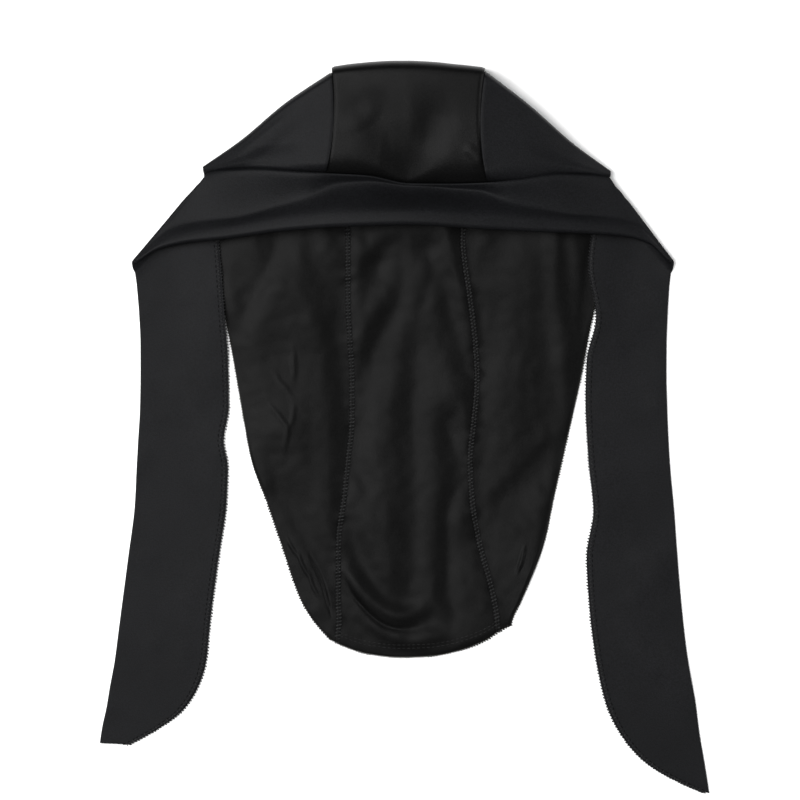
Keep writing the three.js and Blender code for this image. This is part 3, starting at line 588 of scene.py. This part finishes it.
def crown_panel(sections, near, far, tail_near, tail_far, columns):
    """Middle of one panel as a grid of points: rows run from brow to tail, columns across."""
    front = courses(sections, "at")
    even = np.linspace(0, 1, columns + 1)
    at = mix(even, 0.5 - 0.5 * np.cos(np.pi * even), 0.5)
    here = {name: line(at) for name, line in front.items()}
    seam_y, seam_z = seam_line["y"](here["seam_x"]), seam_line["z"](here["seam_x"])
    fold_y = here["fold_y"] - CLOTH / 2
    shoulder_y = fold_y - np.minimum(here["shoulder"], 0.5 * (fold_y - seam_y))

    def front_x(y):
        share = (y - seam_y) / (fold_y - seam_y)
        return mix(here["seam_x"], here["fold_x"], share) + 4 * here["bow"] * share * (1 - share)

    rows = []
    shares = np.linspace(0, 1, FRONT_ROWS, endpoint=False)
    heights = np.empty((FRONT_ROWS, len(at)))
    # Up from the seam over the brow's rounded ridge, through the dip and on to the shoulder
    for c in range(len(at)):
        stations = table(
            "share z",
            (0, seam_z[c]),
            (0.35 * here["ridge"][c], mix(seam_z[c], here["ridge_z"][c], 0.62)),
            (0.7 * here["ridge"][c], mix(seam_z[c], here["ridge_z"][c], 0.9)),
            (here["ridge"][c], here["ridge_z"][c]),
            (0.6, here["dip_z"][c]),
            (1, here["shoulder_z"][c]),
            (1.3, here["shoulder_z"][c] - 3),
        )
        heights[:, c] = course(stations, "share", "z")(shares)
    for share, z in zip(shares, heights):
        y = mix(seam_y, shoulder_y, share)
        rows.append(np.stack([front_x(y), y, z], -1))
    for turn in np.pi / 2 * (1 - np.arange(SHOULDER_ROWS + 1) / SHOULDER_ROWS):
        out, up = np.cos(turn) ** SHOULDER_BEND, np.sin(turn) ** SHOULDER_BEND
        y = mix(shoulder_y, fold_y, out)
        rows.append(np.stack([front_x(y), y, mix(here["edge_z"], here["shoulder_z"], up)], -1))
    top = np.array(rows)
    fade = eased((top[..., 1] - seam_y) / 3) * eased((fold_y - top[..., 1]) / 8)
    top[..., 2] += fade * sum(fold_height(fold, top[..., 0], top[..., 1]) for fold in FRONT_FOLDS)

    end_y = tail_line(mix(tail_near, tail_far, at))
    lean = here["fold_x"] - mix(back_line[near](fold_y), back_line[far](fold_y), at)
    rows = []
    for k in range(1, UNDER_ROWS + BACK_ROWS + 1):
        turn = min(1, k / UNDER_ROWS) * np.pi / 2
        down = max(0, (k - UNDER_ROWS) / BACK_ROWS) ** 0.95
        y = mix(fold_y - TOP_FOLD_DROP * (1 - np.cos(turn)), end_y, down)
        x = mix(back_line[near](y), back_line[far](y), at)
        x = x + lean * (1 - (fold_y - y) / (fold_y - end_y)) ** 3
        rows.append(np.stack([x, y, mix(back_height(x, y), here["edge_z"], 1 - np.sin(turn))], -1))
    return np.concatenate([top, np.array(rows)])


def face_normals(grid):
    """Normals of a grid of points, pointing out of the cap."""
    return unit(np.cross(np.gradient(grid, axis=1), np.gradient(grid, axis=0)))


def mesh_piece(name, points, faces, materials):
    """A piece with smooth shading, from points in millimetres."""
    mesh = bpy.data.meshes.new(name)
    mesh.from_pydata((points.reshape(-1, 3) * MM).tolist(), [], faces)
    for material in materials:
        mesh.materials.append(material)
    mesh.polygons.foreach_set("use_smooth", np.ones(len(faces), bool))
    mesh.update()
    piece = bpy.data.objects.new(name, mesh)
    bpy.context.collection.objects.link(piece)
    return piece


def quads(*corners):
    return np.stack(corners, -1).reshape(-1, 4)


def cloth_mesh(name, grid, thickness, materials):
    """A closed wall of cloth round a grid: the outer face, the inner face and the cut edges."""
    rows, columns = grid.shape[:2]
    half = face_normals(grid) * thickness / 2
    out, into = np.arange(2 * rows * columns).reshape(2, rows, columns)
    outer_faces = quads(out[:-1, :-1], out[:-1, 1:], out[1:, 1:], out[1:, :-1])
    faces = np.concatenate([
        outer_faces,
        quads(into[:-1, :-1], into[1:, :-1], into[1:, 1:], into[:-1, 1:]),
        quads(out[:-1, 0], out[1:, 0], into[1:, 0], into[:-1, 0]),
        quads(out[1:, -1], out[:-1, -1], into[:-1, -1], into[1:, -1]),
        quads(out[0, 1:], out[0, :-1], into[0, :-1], into[0, 1:]),
        quads(out[-1, :-1], out[-1, 1:], into[-1, 1:], into[-1, :-1]),
    ])
    piece = mesh_piece(name, np.stack([grid + half, grid - half]), faces.tolist(), materials)
    slots = np.zeros(len(faces), int)
    slots[len(outer_faces) :] = len(materials) - 1
    piece.data.polygons.foreach_set("material_index", slots)
    return piece


def fill(tree, node, *in_order, **named):
    """Sets up a node. Lower-case names are its settings, and the others are its inputs.

    An input takes a plain value, or the output that is to be linked to it.
    """
    for key in filter(str.islower, named):
        setattr(node, key, named[key])
    inputs = list(zip(node.inputs, in_order))
    for key, value in named.items():
        if not key.islower():
            inputs.append((node.inputs[key.replace("_", " ")], value))
    for socket, value in inputs:
        if isinstance(value, bpy.types.NodeSocket):
            tree.links.new(value, socket)
        else:
            socket.default_value = value
    return node


def added(tree, kind, *in_order, **named):
    return fill(tree, tree.nodes.new(kind), *in_order, **named)


def ramp(tree, value, low, high, places=(0, 1)):
    """A colour that goes from low to high with a value."""
    node = added(tree, "ShaderNodeValToRGB", value)
    for element, place, colour in zip(node.color_ramp.elements, places, (low, high)):
        element.position, element.color = place, (*colour, 1)
    return node.outputs["Color"]


def surface(name):
    """A new material, its node tree, and the places on the piece that its textures go by."""
    material = bpy.data.materials.new(name)
    material.use_nodes = True
    tree = material.node_tree
    return material, tree, tree.nodes.new("ShaderNodeTexCoord").outputs["Object"]


def shaded(tree, colour, normal, specular, roughness, spread, by):
    """Finishes a material whose roughness varies with a texture."""
    gloss = added(
        tree, "ShaderNodeMapRange", by, To_Min=roughness - spread, To_Max=roughness + spread
    ).outputs["Result"]
    fill(
        tree, tree.nodes["Principled BSDF"],
        Base_Color=colour, Normal=normal, Roughness=gloss, Specular_IOR_Level=specular,
    )


def knit(name, colour, roughness, specular, wale, relief, mottle):
    """Stretch knit: wales and courses as fine ribs, with a mottled grain over them."""
    material, tree, place = surface(name)

    def bands(direction, width, **more):
        return added(
            tree, "ShaderNodeTexWave", place, bands_direction=direction,
            Scale=WAVE_PERIOD / (width * MM), Distortion=1.5, Detail=1, **more,
        ).outputs["Fac"]

    def speckle(size, **more):
        node = added(tree, "ShaderNodeTexNoise", place, Scale=1 / (size * MM), **more)
        return node.outputs["Fac"]

    fuzz, blotch = speckle(0.8, Detail=3, Roughness=0.6), speckle(38, Detail=2)
    wales, rows = bands("X", wale, Detail_Scale=2), bands("Y", wale * 0.8)
    rib = added(tree, "ShaderNodeMath", wales, rows, operation="MULTIPLY").outputs[0]
    ribs = added(tree, "ShaderNodeBump", Distance=relief * MM, Strength=0.5, Height=rib)
    tufts = added(
        tree, "ShaderNodeBump",
        Distance=2.5 * relief * MM, Strength=0.6, Height=fuzz, Normal=ribs.outputs["Normal"],
    )
    dark, light = (tuple(c * (1 + change) for c in colour) for change in (-mottle, mottle))
    tint = ramp(tree, blotch, dark, light, (0.3, 0.7))
    pile = ramp(tree, fuzz, (0.55,) * 3, (1.25,) * 3, (0.32, 0.72))
    shade = added(tree, "ShaderNodeMixRGB", 1, tint, pile, blend_type="MULTIPLY").outputs["Color"]
    shaded(tree, shade, tufts.outputs["Normal"], specular, roughness, 0.05, by=fuzz)
    return material


def sew_in(grid, edges):
    """Turns the front's sewn edges inwards, as a seam does, so that a crease shows outside."""
    gone, from_brow = gone_along(grid, 1), gone_along(grid, 0)
    from_brow[BROW_ROWS:] = np.inf
    away = {"left": gone, "right": gone[:, -1:] - gone, "brow": from_brow}
    nearest = np.minimum.reduce([away[edge] for edge in edges])
    dip = np.exp(-((nearest / CREASE_REACH) ** 2))
    dip *= 1 - eased((np.arange(len(grid)) - FRONT_ROWS - SHOULDER_ROWS) / UNDER_ROWS)[:, None]
    return grid - face_normals(grid) * (dip * CREASE_DEPTH)[..., None]


# The inner faces are a shade duller than the smooth outer one
sheen_knit = knit("sheen_knit", (0.0062, 0.0062, 0.0063), 0.4, 0.116, 0.5, 0.05, 0.1)
inner_knit = knit("inner_knit", (0.0062, 0.0062, 0.0062), 0.41, 0.096, 0.5, 0.05, 0.1)

centre_grid = crown_panel(CENTRE_FRONT, "seam_left", "seam_right", -36.4, 51, 88)
centre_grid = sew_in(centre_grid, ("left", "right", "brow"))
centre_panel = cloth_mesh("crown_center_cloth", centre_grid, CLOTH, [sheen_knit, inner_knit])
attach(centre_panel, "root")
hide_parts("crown_center_panel")

# Crown, side panels
# Two mirrored cuts of the same knit with its matt face out. Each is sewn to the centre
# panel along one side and to the band at the brow, and is folded over at its outer side.
LEFT_FRONT = table(
    "at seam_x fold_x fold_y bow edge_z ridge ridge_z dip_z shoulder_z shoulder",
    (0, -42.4, -39.2, 191.8, 2.6, 4.6, 0.10, 28.6, 28.4, 29, 5),
    (0.35, -66, -64, 175.2, 1.2, 4.3, 0.14, 22.6, 23.4, 23.6, 4),
    (0.7, -89, -88, 155.2, 0.3, 4.0, 0.3, 16.4, 17.0, 17.0, 3),
    (1, -108.6, -108.6, 141.0, 0, 3.8, 0.3, 7.0, 7.0, 7.0, 0.8),
)
RIGHT_FRONT = table(
    "at seam_x fold_x fold_y bow edge_z ridge ridge_z dip_z shoulder_z shoulder",
    (0, 44.6, 43.4, 192.4, -3.2, 4.6, 0.10, 29.4, 28.8, 29.4, 5),
    (0.35, 68, 67.5, 173.8, -1.4, 4.3, 0.3, 22.2, 23.0, 23.2, 4),
    (0.7, 91, 91, 153.2, -0.3, 4.0, 0.3, 15.8, 16.4, 16.4, 3),
    (1, 111.2, 111.2, 138.6, 0, 3.8, 0.3, 7.0, 7.0, 7.0, 0.8),
)
matt_knit = knit("matt_knit", (0.0103, 0.0106, 0.012), 0.52, 0.14, 0.55, 0.06, 0.12)

for side, sections, near, far, tail_near, tail_far in (
    ("left", LEFT_FRONT, "seam_left", "hem_left", -36.4, -40),
    ("right", RIGHT_FRONT, "seam_right", "hem_right", 51, 56.5),
):
    grid = crown_panel(sections, near, far, tail_near, tail_far, 66)
    if side == "left":
        grid = grid[:, ::-1]
    grid = sew_in(grid, ("right" if side == "left" else "left", "brow"))
    side_panel = cloth_mesh(f"crown_side_cloth_{side}", grid, CLOTH, [matt_knit, inner_knit])
    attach(side_panel, "root")
    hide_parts(f"crown_side_panel_{side}")

# Brow band and ties
# One long strip, folded double lengthways with its matt face out. The middle is sewn to
# the crown as the brow band, whose folded edge rolls under. At each side the strip turns
# back under itself along a diagonal fold and runs on as a tie.
LAYERS = 0.46  # from the strip's middle to the middle of either layer
STRIP_CLOTH = 0.7
FOLD_STEPS = 5  # round the strip's folded edge
CORNER_ROLL = 2.4
BAND = table(
    "edge_x edge_y seam_x lip_z trough trough_z roll turn hang",
    (-145.0, 89.6, -104.8, 6.0, 0.7, 5.8, 1.4, 1.6, 0),
    (-133, 96.8, -103.4, 8.6, 0.72, 6.4, 1.5, 1.8, 1),
    (-118, 100.2, -99, 11.2, 0.74, 8.0, 1.5, 1.9, 1.5),
    (-96, 102.4, -85, 15.4, 0.74, 11.6, 1.6, 2.0, 2),
    (-68, 106.2, -63, 21.5, 0.58, 17.0, 1.6, 2.0, 3),
    (-52, 107.6, -49, 25.2, 0.42, 19.4, 1.6, 2.0, 3.5),
    (-36, 108.6, -35, 28.2, 0.2, 19.0, 1.6, 2.0, 4),
    (3, 109.6, 3, 31.0, 0.08, 18.0, 1.6, 2.0, 5),
    (40, 107.6, 39, 28.7, 0.18, 18.2, 1.6, 2.0, 4),
    (56, 106.9, 53, 25.2, 0.42, 18.4, 1.6, 2.0, 3.5),
    (71, 106.2, 65, 21.5, 0.56, 16.4, 1.6, 2.0, 3),
    (98, 105.2, 88, 15.4, 0.74, 11.2, 1.6, 2.0, 2),
    (119, 103.6, 102, 11.2, 0.74, 8.0, 1.5, 1.9, 1.5),
    (132, 100, 107, 8.6, 0.72, 6.4, 1.5, 1.8, 1),
    (143.2, 90.0, 109.4, 6.0, 0.7, 5.8, 1.4, 1.6, 0),
)
LEFT_TIE = table(
    "inner_x inner_y outer_x outer_y lift",
    (-102.0, 116, -144.2, 78, 1.9),
    (-99.4, 90, -142.8, 62, 1.9),
    (-97.4, 62, -142, 46, 1.4),
    (-95.4, 34, -141.9, 28, 0.3),
    (-95.0, 12, -142.2, 10, 0),
    (-97.8, -7, -143.2, -7, 0.9),
    (-95.6, -22, -144, -22, 0.2),
    (-96.4, -42, -145, -42, 0),
    (-100.8, -72, -148.8, -72, 0.5),
    (-105.0, -104, -153, -104, 0.2),
    (-107.4, -127, -156, -127, 0),
    (-112.0, -141, -158.4, -140, 0),
    (-120.4, -153.4, -160.4, -152, 0),
    (-133.4, -163, -162.6, -162, 0),
    (-148.4, -171.4, -163.9, -170.6, 0),
)
RIGHT_TIE = table(
    "inner_x inner_y outer_x outer_y lift",
    (102.4, 112, 142.6, 77, 1.9),
    (99.6, 88, 141.6, 62, 1.9),
    (103.6, 60, 141, 46, 2.0),
    (98.6, 36, 140.8, 30, 0.6),
    (98, 14, 141.2, 12, 0),
    (99.6, -18, 142.6, -18, 0.3),
    (102.2, -45, 145, -45, 1.0),
    (98.6, -70, 146.8, -70, 0.2),
    (100, -96, 149, -96, 0),
    (103.4, -124, 152.2, -124, 0.4),
    (109.6, -151, 156.6, -149, 0),
    (118.4, -168, 158.8, -166, 0),
    (131, -181.6, 161, -179, 0),
    (148, -191.6, 162.8, -190, 0),
    (161, -197.4, 163.9, -197.2, 0),
)
FLAT_COLUMNS, ROLL_COLUMNS = 24, 12
BAND_ROWS, CORNER_ROWS, TIE_ROWS = 200, 12, 150
LIP_SHARE = 0.9
TIE_WAVES = ((0.9, 38, 12), (0.35, 13, 17))  # height, size from crest to crest, seed

flat_share = np.linspace(0, LIP_SHARE, FLAT_COLUMNS)
roll_share = np.linspace(0, 1, ROLL_COLUMNS + 1)[1:]
strip_at = np.concatenate([flat_share, mix(LIP_SHARE, 1, roll_share)])
band = courses(BAND, "edge_x")


def band_line(edge_x):
    """One cross line of the band, from its seam over the roll to its folded edge."""
    here = {name: line(edge_x) for name, line in band.items()}
    seam_x = here["seam_x"]
    start = np.array([seam_x, seam_line["y"](seam_x), seam_line["z"](seam_x)])
    run = np.array([edge_x, here["edge_y"]]) - start[:2]
    length = np.linalg.norm(run)
    run = run / length
    crest = length - here["roll"]
    heights = table(
        "share z",
        (0, start[2]),
        (here["trough"], here["trough_z"]),
        (1 - 4.4 / crest, here["lip_z"] - 0.5),
        (1, here["lip_z"]),
        (1 + 2 / crest, here["lip_z"] - 0.3),
    )
    share = flat_share / LIP_SHARE
    sewn_down = 0.8 * np.exp(-((share * crest / 1.3) ** 2))
    flat_z = course(heights, "share", "z")(share) - sewn_down
    flat = np.column_stack([start[:2] + np.outer(share * crest, run), flat_z])
    gone = roll_share * (here["roll"] * here["turn"] + here["hang"])
    turn = np.minimum(gone / here["roll"], here["turn"])
    past = np.maximum(0, gone - here["roll"] * here["turn"])
    forth = crest + here["roll"] * np.sin(turn) + past * np.cos(turn)
    down = here["lip_z"] - here["roll"] * (1 - np.cos(turn)) - past * np.sin(turn)
    roll = np.column_stack([start[:2] + np.outer(forth, run), down])
    return np.concatenate([flat, roll])


def tie_lines(rows):
    """Cross lines of one tie, from its corner to its tip."""
    keyed = [{**row, "at": i / (len(rows) - 1)} for i, row in enumerate(rows)]
    tie = courses(keyed, "at")
    lines = []
    for at in np.linspace(0, 1, TIE_ROWS):
        inner = np.array([tie["inner_x"](at), tie["inner_y"](at)])
        outer = np.array([tie["outer_x"](at), tie["outer_y"](at)])
        flat = mix(inner[None], outer[None], strip_at[:, None])
        z = LAYERS + STRIP_CLOTH / 2 + tie["lift"](at) * (1 - eased(strip_at * 1.6))
        wave = sum(height * grain(flat, size, seed) for height, size, seed in TIE_WAVES)
        z = z + eased(at * 12) * 0.5 * (wave + np.sqrt(wave**2 + 0.02))
        lines.append(np.column_stack([flat, z]))
    return np.array(lines)


def corner_lines(band_end, tie_start):
    """The soft diagonal fold that turns the band under to the tie."""
    run = band_end[FLAT_COLUMNS - 1] - band_end[0]
    outward = np.array([-run[1], run[0], 0]) / np.hypot(run[0], run[1])
    if outward[0] * band_end[0, 0] < 0:
        outward = -outward
    reach = CORNER_ROLL * eased(strip_at * 3)
    lines = []
    for k in range(1, CORNER_ROWS):
        turn = np.pi * k / CORNER_ROWS
        line = mix(band_end, tie_start, eased(k / CORNER_ROWS) * 0.5)
        line = line + np.outer(reach * np.sin(turn), outward)
        line[:, 2] = mix(band_end[:, 2], tie_start[:, 2], (1 - np.cos(turn)) / 2)
        lines.append(line)
    return np.array(lines)


band_stations = np.linspace(BAND[0]["edge_x"], BAND[-1]["edge_x"], BAND_ROWS)
band_grid = np.array([band_line(x) for x in band_stations])
left_tie, right_tie = tie_lines(LEFT_TIE), tie_lines(RIGHT_TIE)
left_corner = corner_lines(band_grid[0], left_tie[0])
right_corner = corner_lines(band_grid[-1], right_tie[0])
strip_grid = np.concatenate([left_tie[::-1], left_corner[::-1], band_grid, right_corner, right_tie])


def tube_faces(ids):
    """Faces between the rings of a tube, whose points are numbered ring by ring."""
    nxt = np.roll(ids, -1, axis=1)
    return quads(ids[:-1], nxt[:-1], nxt[1:], ids[1:]).tolist()


def doubled_mesh(name, grid, material):
    """Two layers of cloth joined at the folded edge, as one closed mesh."""
    normal = -face_normals(grid)
    far, near = LAYERS + STRIP_CLOTH / 2, LAYERS - STRIP_CLOTH / 2
    edge = unit(grid[:, -1] - grid[:, -2])
    bends = [
        grid[:, -1] + normal[:, -1] * far * np.cos(turn) + edge * far * np.sin(turn)
        for turn in np.pi * np.arange(1, FOLD_STEPS + 1) / (FOLD_STEPS + 1)
    ]
    top, low = grid + normal * far, grid - normal * far
    top_in, low_in = grid + normal * near, grid - normal * near
    loop = np.concatenate([top, np.stack(bends, 1), low[:, ::-1], low_in, top_in[:, ::-1]], axis=1)
    rows, around = loop.shape[:2]
    ids = np.arange(rows * around).reshape(rows, around)
    faces = tube_faces(ids)
    columns = grid.shape[1]
    low_start = columns + FOLD_STEPS
    for row, flip in ((0, True), (rows - 1, False)):
        for c in range(columns - 1):
            for a, b, inner_a, inner_b in (
                (c, c + 1, around - 1 - c, around - 2 - c),
                (low_start + columns - 2 - c, low_start + columns - 1 - c,
                 low_start + columns + c, low_start + columns + c + 1),
            ):
                quad = [ids[row, a], ids[row, b], ids[row, inner_b], ids[row, inner_a]]
                faces.append([int(v) for v in (quad if flip else quad[::-1])])
    return mesh_piece(name, loop, faces, [material])


strip = doubled_mesh("band_and_ties_cloth", strip_grid, matt_knit)
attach(strip, "root")
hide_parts("band_and_ties")

# Inside seams
# Where the crown's panels meet, their edges are overlocked together and stand up inside as
# a narrow ridge, with the loops of the thread in two rows along it.
SEAM_STITCHES = dict(spacing=1.9, length=1.9, width=1.05, height=1.05, along=0.5, across=1, turn=0)
SEAM_ROWS_APART = 1.5
SEAM_RIDGE = dict(width=2.6, height=0.9)
SEAM_TOP = 150  # how far up the back the seams are sewn out in full
RIDGE_LIFT, SEAM_LIFT = 0.15, 0.5
LINE_POINTS = 330
SHORT_BY = 4  # points by which one row of loops stops short of the tail
UNEVENNESS = (0.82, 1.15)  # least and greatest size of a stitch
LENGTHS = ("spacing", "length", "width", "height")  # the rest of a stitch's values are shares


def thread(name, colour, roughness, specular):
    """Twisted polyester thread, with a fine bump along it."""
    material, tree, place = surface(name)
    strands = added(tree, "ShaderNodeTexNoise", place, Scale=1 / (0.35 * MM)).outputs["Fac"]
    bump = added(tree, "ShaderNodeBump", Distance=0.12 * MM, Height=strands).outputs["Normal"]
    dark, light = (tuple(c * share for c in colour) for share in (0.6, 1.4))
    tint = ramp(tree, strands, dark, light)
    shaded(tree, tint, bump, specular, roughness, 0.08, by=strands)
    return material


def stitch_tree():
    """Geometry Nodes that set stitches along a line: rounded beads of thread at even steps."""
    tree = bpy.data.node_groups.new("stitches", "GeometryNodeTree")
    sizes = ("Spacing", "Length", "Width", "Height", "Along", "Across", "Turn")
    sockets = {"Line": "Geometry", **dict.fromkeys(sizes, "Float")}
    sockets |= {"Seed": "Int", "Thread": "Material"}
    for name, kind in sockets.items():
        tree.interface.new_socket(name, in_out="INPUT", socket_type=f"NodeSocket{kind}")
    tree.interface.new_socket("Stitches", in_out="OUTPUT", socket_type="NodeSocketGeometry")
    given = tree.nodes.new("NodeGroupInput").outputs

    def made(kind, *in_order, **named):
        return added(tree, kind, *in_order, **named).outputs[0]

    def product(a, b):
        return made("ShaderNodeMath", a, b, operation="MULTIPLY")

    def scaled(vector, factor):
        return made("ShaderNodeVectorMath", vector, operation="SCALE", Scale=factor)

    def attribute(name):
        node = added(tree, "GeometryNodeInputNamedAttribute", data_type="FLOAT_VECTOR", Name=name)
        return node.outputs["Attribute"]

    curve = made("GeometryNodeMeshToCurve", Mesh=given["Line"])
    steps = made("GeometryNodeResampleCurve", mode="LENGTH", Curve=curve, Length=given["Spacing"])
    odd = made("ShaderNodeMath", made("GeometryNodeInputIndex"), 2, operation="MODULO")
    side = made("ShaderNodeMath", 1, product(product(odd, 2), given["Turn"]), operation="SUBTRACT")
    along = scaled(made("GeometryNodeInputTangent"), given["Along"])
    across = scaled(attribute("across"), product(given["Across"], side))
    turn = made(
        "FunctionNodeAxesToRotation", primary_axis="Z", secondary_axis="X",
        Primary_Axis=attribute("up"), Secondary_Axis=made("ShaderNodeVectorMath", along, across),
    )
    uneven = added(tree, "FunctionNodeRandomValue", data_type="FLOAT", Seed=given["Seed"])
    uneven.inputs[2].default_value, uneven.inputs[3].default_value = UNEVENNESS
    size = [product(given[name], uneven.outputs[1]) for name in ("Length", "Width", "Height")]
    bead = made("GeometryNodeMeshUVSphere", Segments=8, Rings=4, Radius=0.5)
    placed = made(
        "GeometryNodeInstanceOnPoints",
        Points=steps, Instance=bead, Rotation=turn, Scale=made("ShaderNodeCombineXYZ", *size),
    )
    smooth = made("GeometryNodeSetShadeSmooth", made("GeometryNodeRealizeInstances", placed))
    coloured = made("GeometryNodeSetMaterial", smooth, Material=given["Thread"])
    added(tree, "NodeGroupOutput", coloured)
    return tree


def sewn(name, lines, stitches, material, seed):
    """A piece of stitches along lines. Each line has its points, and across and up there."""
    points = np.concatenate([line["points"] for line in lines]) * MM
    edges, start = [], 0
    for line in lines:
        count = len(line["points"])
        edges += [(start + i, start + i + 1) for i in range(count - 1)]
        start += count
    mesh = bpy.data.meshes.new(name)
    mesh.from_pydata(points.tolist(), edges, [])
    for key in ("across", "up"):
        values = np.concatenate([line[key] for line in lines])
        mesh.attributes.new(key, "FLOAT_VECTOR", "POINT").data.foreach_set("vector", values.ravel())
    piece = bpy.data.objects.new(name, mesh)
    bpy.context.collection.objects.link(piece)
    tree = piece.modifiers.new("stitches", "NODES")
    tree.node_group = stitching
    given = {key.capitalize(): stitches[key] * (MM if key in LENGTHS else 1.0) for key in stitches}
    given |= {"Seed": seed, "Thread": material}
    for socket in stitching.interface.items_tree:
        if socket.name in given:
            tree[socket.identifier] = given[socket.name]
    made = piece.evaluated_get(bpy.context.evaluated_depsgraph_get())
    plain = bpy.data.meshes.new_from_object(made)
    piece.modifiers.clear()
    piece.data = plain
    plain.name = name
    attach(piece, "root")
    return piece


def back_path(x, y, aside, lift):
    """A line along the inner face of the back, aside from x, y and lifted off the cloth."""
    tangent = unit(np.gradient(np.stack([x, y], -1), axis=0))
    x, y = x + aside * tangent[:, 1], y - aside * tangent[:, 0]
    step = 0.6  # over which the cloth's slope is taken
    slope_x = (back_height(x + step, y) - back_height(x - step, y)) / (2 * step)
    slope_y = (back_height(x, y + step) - back_height(x, y - step)) / (2 * step)
    up = unit(np.stack([-slope_x, -slope_y, np.ones(len(x))], -1))
    tilt = slope_x * tangent[:, 1] - slope_y * tangent[:, 0]
    across = np.stack([tangent[:, 1], -tangent[:, 0], tilt], -1)
    points = np.stack([x, y, back_height(x, y) + CLOTH / 2], -1) + up * lift
    return {"points": points, "across": unit(across), "up": up}


def ridge(name, line, width, height, material):
    """A low rounded ridge of cloth along a line."""
    turns = np.arange(10) * 2 * np.pi / 10
    rows = (
        line["points"][:, None]
        + line["across"][:, None] * (width / 2 * np.cos(turns))[None, :, None]
        + line["up"][:, None] * (height / 2 * np.sin(turns))[None, :, None]
    )
    ids = np.arange(rows.shape[0] * rows.shape[1]).reshape(rows.shape[:2])
    ends = [ids[0, ::-1].tolist(), ids[-1].tolist()]
    return mesh_piece(name, rows, tube_faces(ids) + ends, [material])


stitching = stitch_tree()
black_thread = thread("black_thread", (0.019, 0.0194, 0.0198), 0.44, 0.34)
worn_thread = thread("worn_thread", (0.018, 0.0175, 0.014), 0.5, 0.28)
# Thread for the ties' straight stitches, near black with painted shade: it stands in for the shade
# of the groove that the stitches pull into the cloth
groove_shade_thread = thread("groove_shade_thread", (0.003, 0.003, 0.0032), 0.6, 0.05)

for side in ("left", "right"):
    start = tail_line(back_line[f"seam_{side}"](np.array([-116.0])))[0] + 0.6
    along = np.linspace(start, SEAM_TOP, LINE_POINTS)
    place = back_line[f"seam_{side}"](along)
    middle = back_path(place, along, 0, RIDGE_LIFT)
    core = ridge(f"seam_ridge_{side}", middle, **SEAM_RIDGE, material=inner_knit)
    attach(core, "root")
    rows = [
        back_path(place[SHORT_BY:], along[SHORT_BY:], -SEAM_ROWS_APART / 2, SEAM_LIFT),
        back_path(place, along, SEAM_ROWS_APART / 2, SEAM_LIFT),
    ]
    beads = sewn(f"seam_thread_{side}", rows, SEAM_STITCHES, black_thread, 3)

# Hem
# The crown's open edge at the back is overlocked too. Its loops wrap the cut edge, and along
# the tail two rows of straight stitches hold the hem.
EDGE_STITCHES = dict(spacing=1.5, length=1.9, width=0.75, height=1.05, along=0.3, across=1, turn=0)
TAIL_STITCHES = dict(spacing=2.6, length=1.8, width=0.32, height=0.3, along=1, across=0, turn=0)
TAIL_ROWS = (4.6, 6.4)  # from the tail's edge
HEM_TOP = 118
HEM_LIFT, TAIL_LIFT = -0.2, 0.02  # off the inner face; the hem's loops reach round the edge

tail_x = np.linspace(TAIL_EDGE[0]["x"], TAIL_EDGE[-1]["x"], 130)
tail_y = tail_line(tail_x)
hem_lines = []
for side, corner in (("left", tail_y[0]), ("right", tail_y[-1])):
    y = np.linspace(corner + 0.5, HEM_TOP, LINE_POINTS)
    hem_lines.append(back_path(back_line[f"hem_{side}"](y), y, 0, HEM_LIFT))
hem_lines.append(back_path(tail_x, tail_y, 0, HEM_LIFT))
hem_thread = sewn("hem_thread", hem_lines, EDGE_STITCHES, worn_thread, 5)
inner_x = np.linspace(-34, 48, 110)
tail_lines = [back_path(inner_x, tail_line(inner_x) + row, 0, TAIL_LIFT) for row in TAIL_ROWS]
tail_thread = sewn("tail_thread", tail_lines, TAIL_STITCHES, black_thread, 7)

# Tie stitching
# The strip's long open side is overlocked at the edge and stitched down beside it, with a
# zigzag between the two.
TIE_EDGE_STITCHES = dict(
    spacing=1.7, length=2.0, width=0.8, height=1.6, along=0.3, across=1, turn=0
)
ZIGZAG_STITCHES = dict(
    spacing=1.8, length=2.0, width=0.48, height=0.35, along=0.75, across=0.8, turn=1
)
STRAIGHT_STITCHES = dict(spacing=2.7, length=2.0, width=0.5, height=0.3, along=1, across=0, turn=0)
ZIGZAG_IN, STRAIGHT_IN = 1.6, 3.0  # from the open edge


def tie_path(grid, distance, lift):
    """A line along the upper face of a tie, at a distance from its open edge."""
    gone = gone_along(grid, 1)

    def there(field):
        return np.array([
            [np.interp(distance, d, row[:, k]) for k in range(3)] for d, row in zip(gone, field)
        ])

    up = unit(there(-face_normals(grid)))
    across = unit(np.diff(grid[:, :6], axis=1).mean(axis=1))
    return {"points": there(grid) + up * lift, "across": across, "up": up}


tie_face = LAYERS + STRIP_CLOTH / 2
tie_grids = [strip_grid[:TIE_ROWS], strip_grid[-TIE_ROWS:]]
for name, distance, lift, stitches, material in (
    ("tie_edge_thread", 0.1, 0.15, TIE_EDGE_STITCHES, black_thread),
    ("tie_zigzag_thread", ZIGZAG_IN, tie_face, ZIGZAG_STITCHES, black_thread),
    # the straight stitches take the thread with painted groove shade
    ("tie_straight_thread", STRAIGHT_IN, tie_face - 0.05, STRAIGHT_STITCHES, groove_shade_thread),
):
    lines = [tie_path(grid, distance, lift) for grid in tie_grids]
    sewn(name, lines, stitches, material, 11)
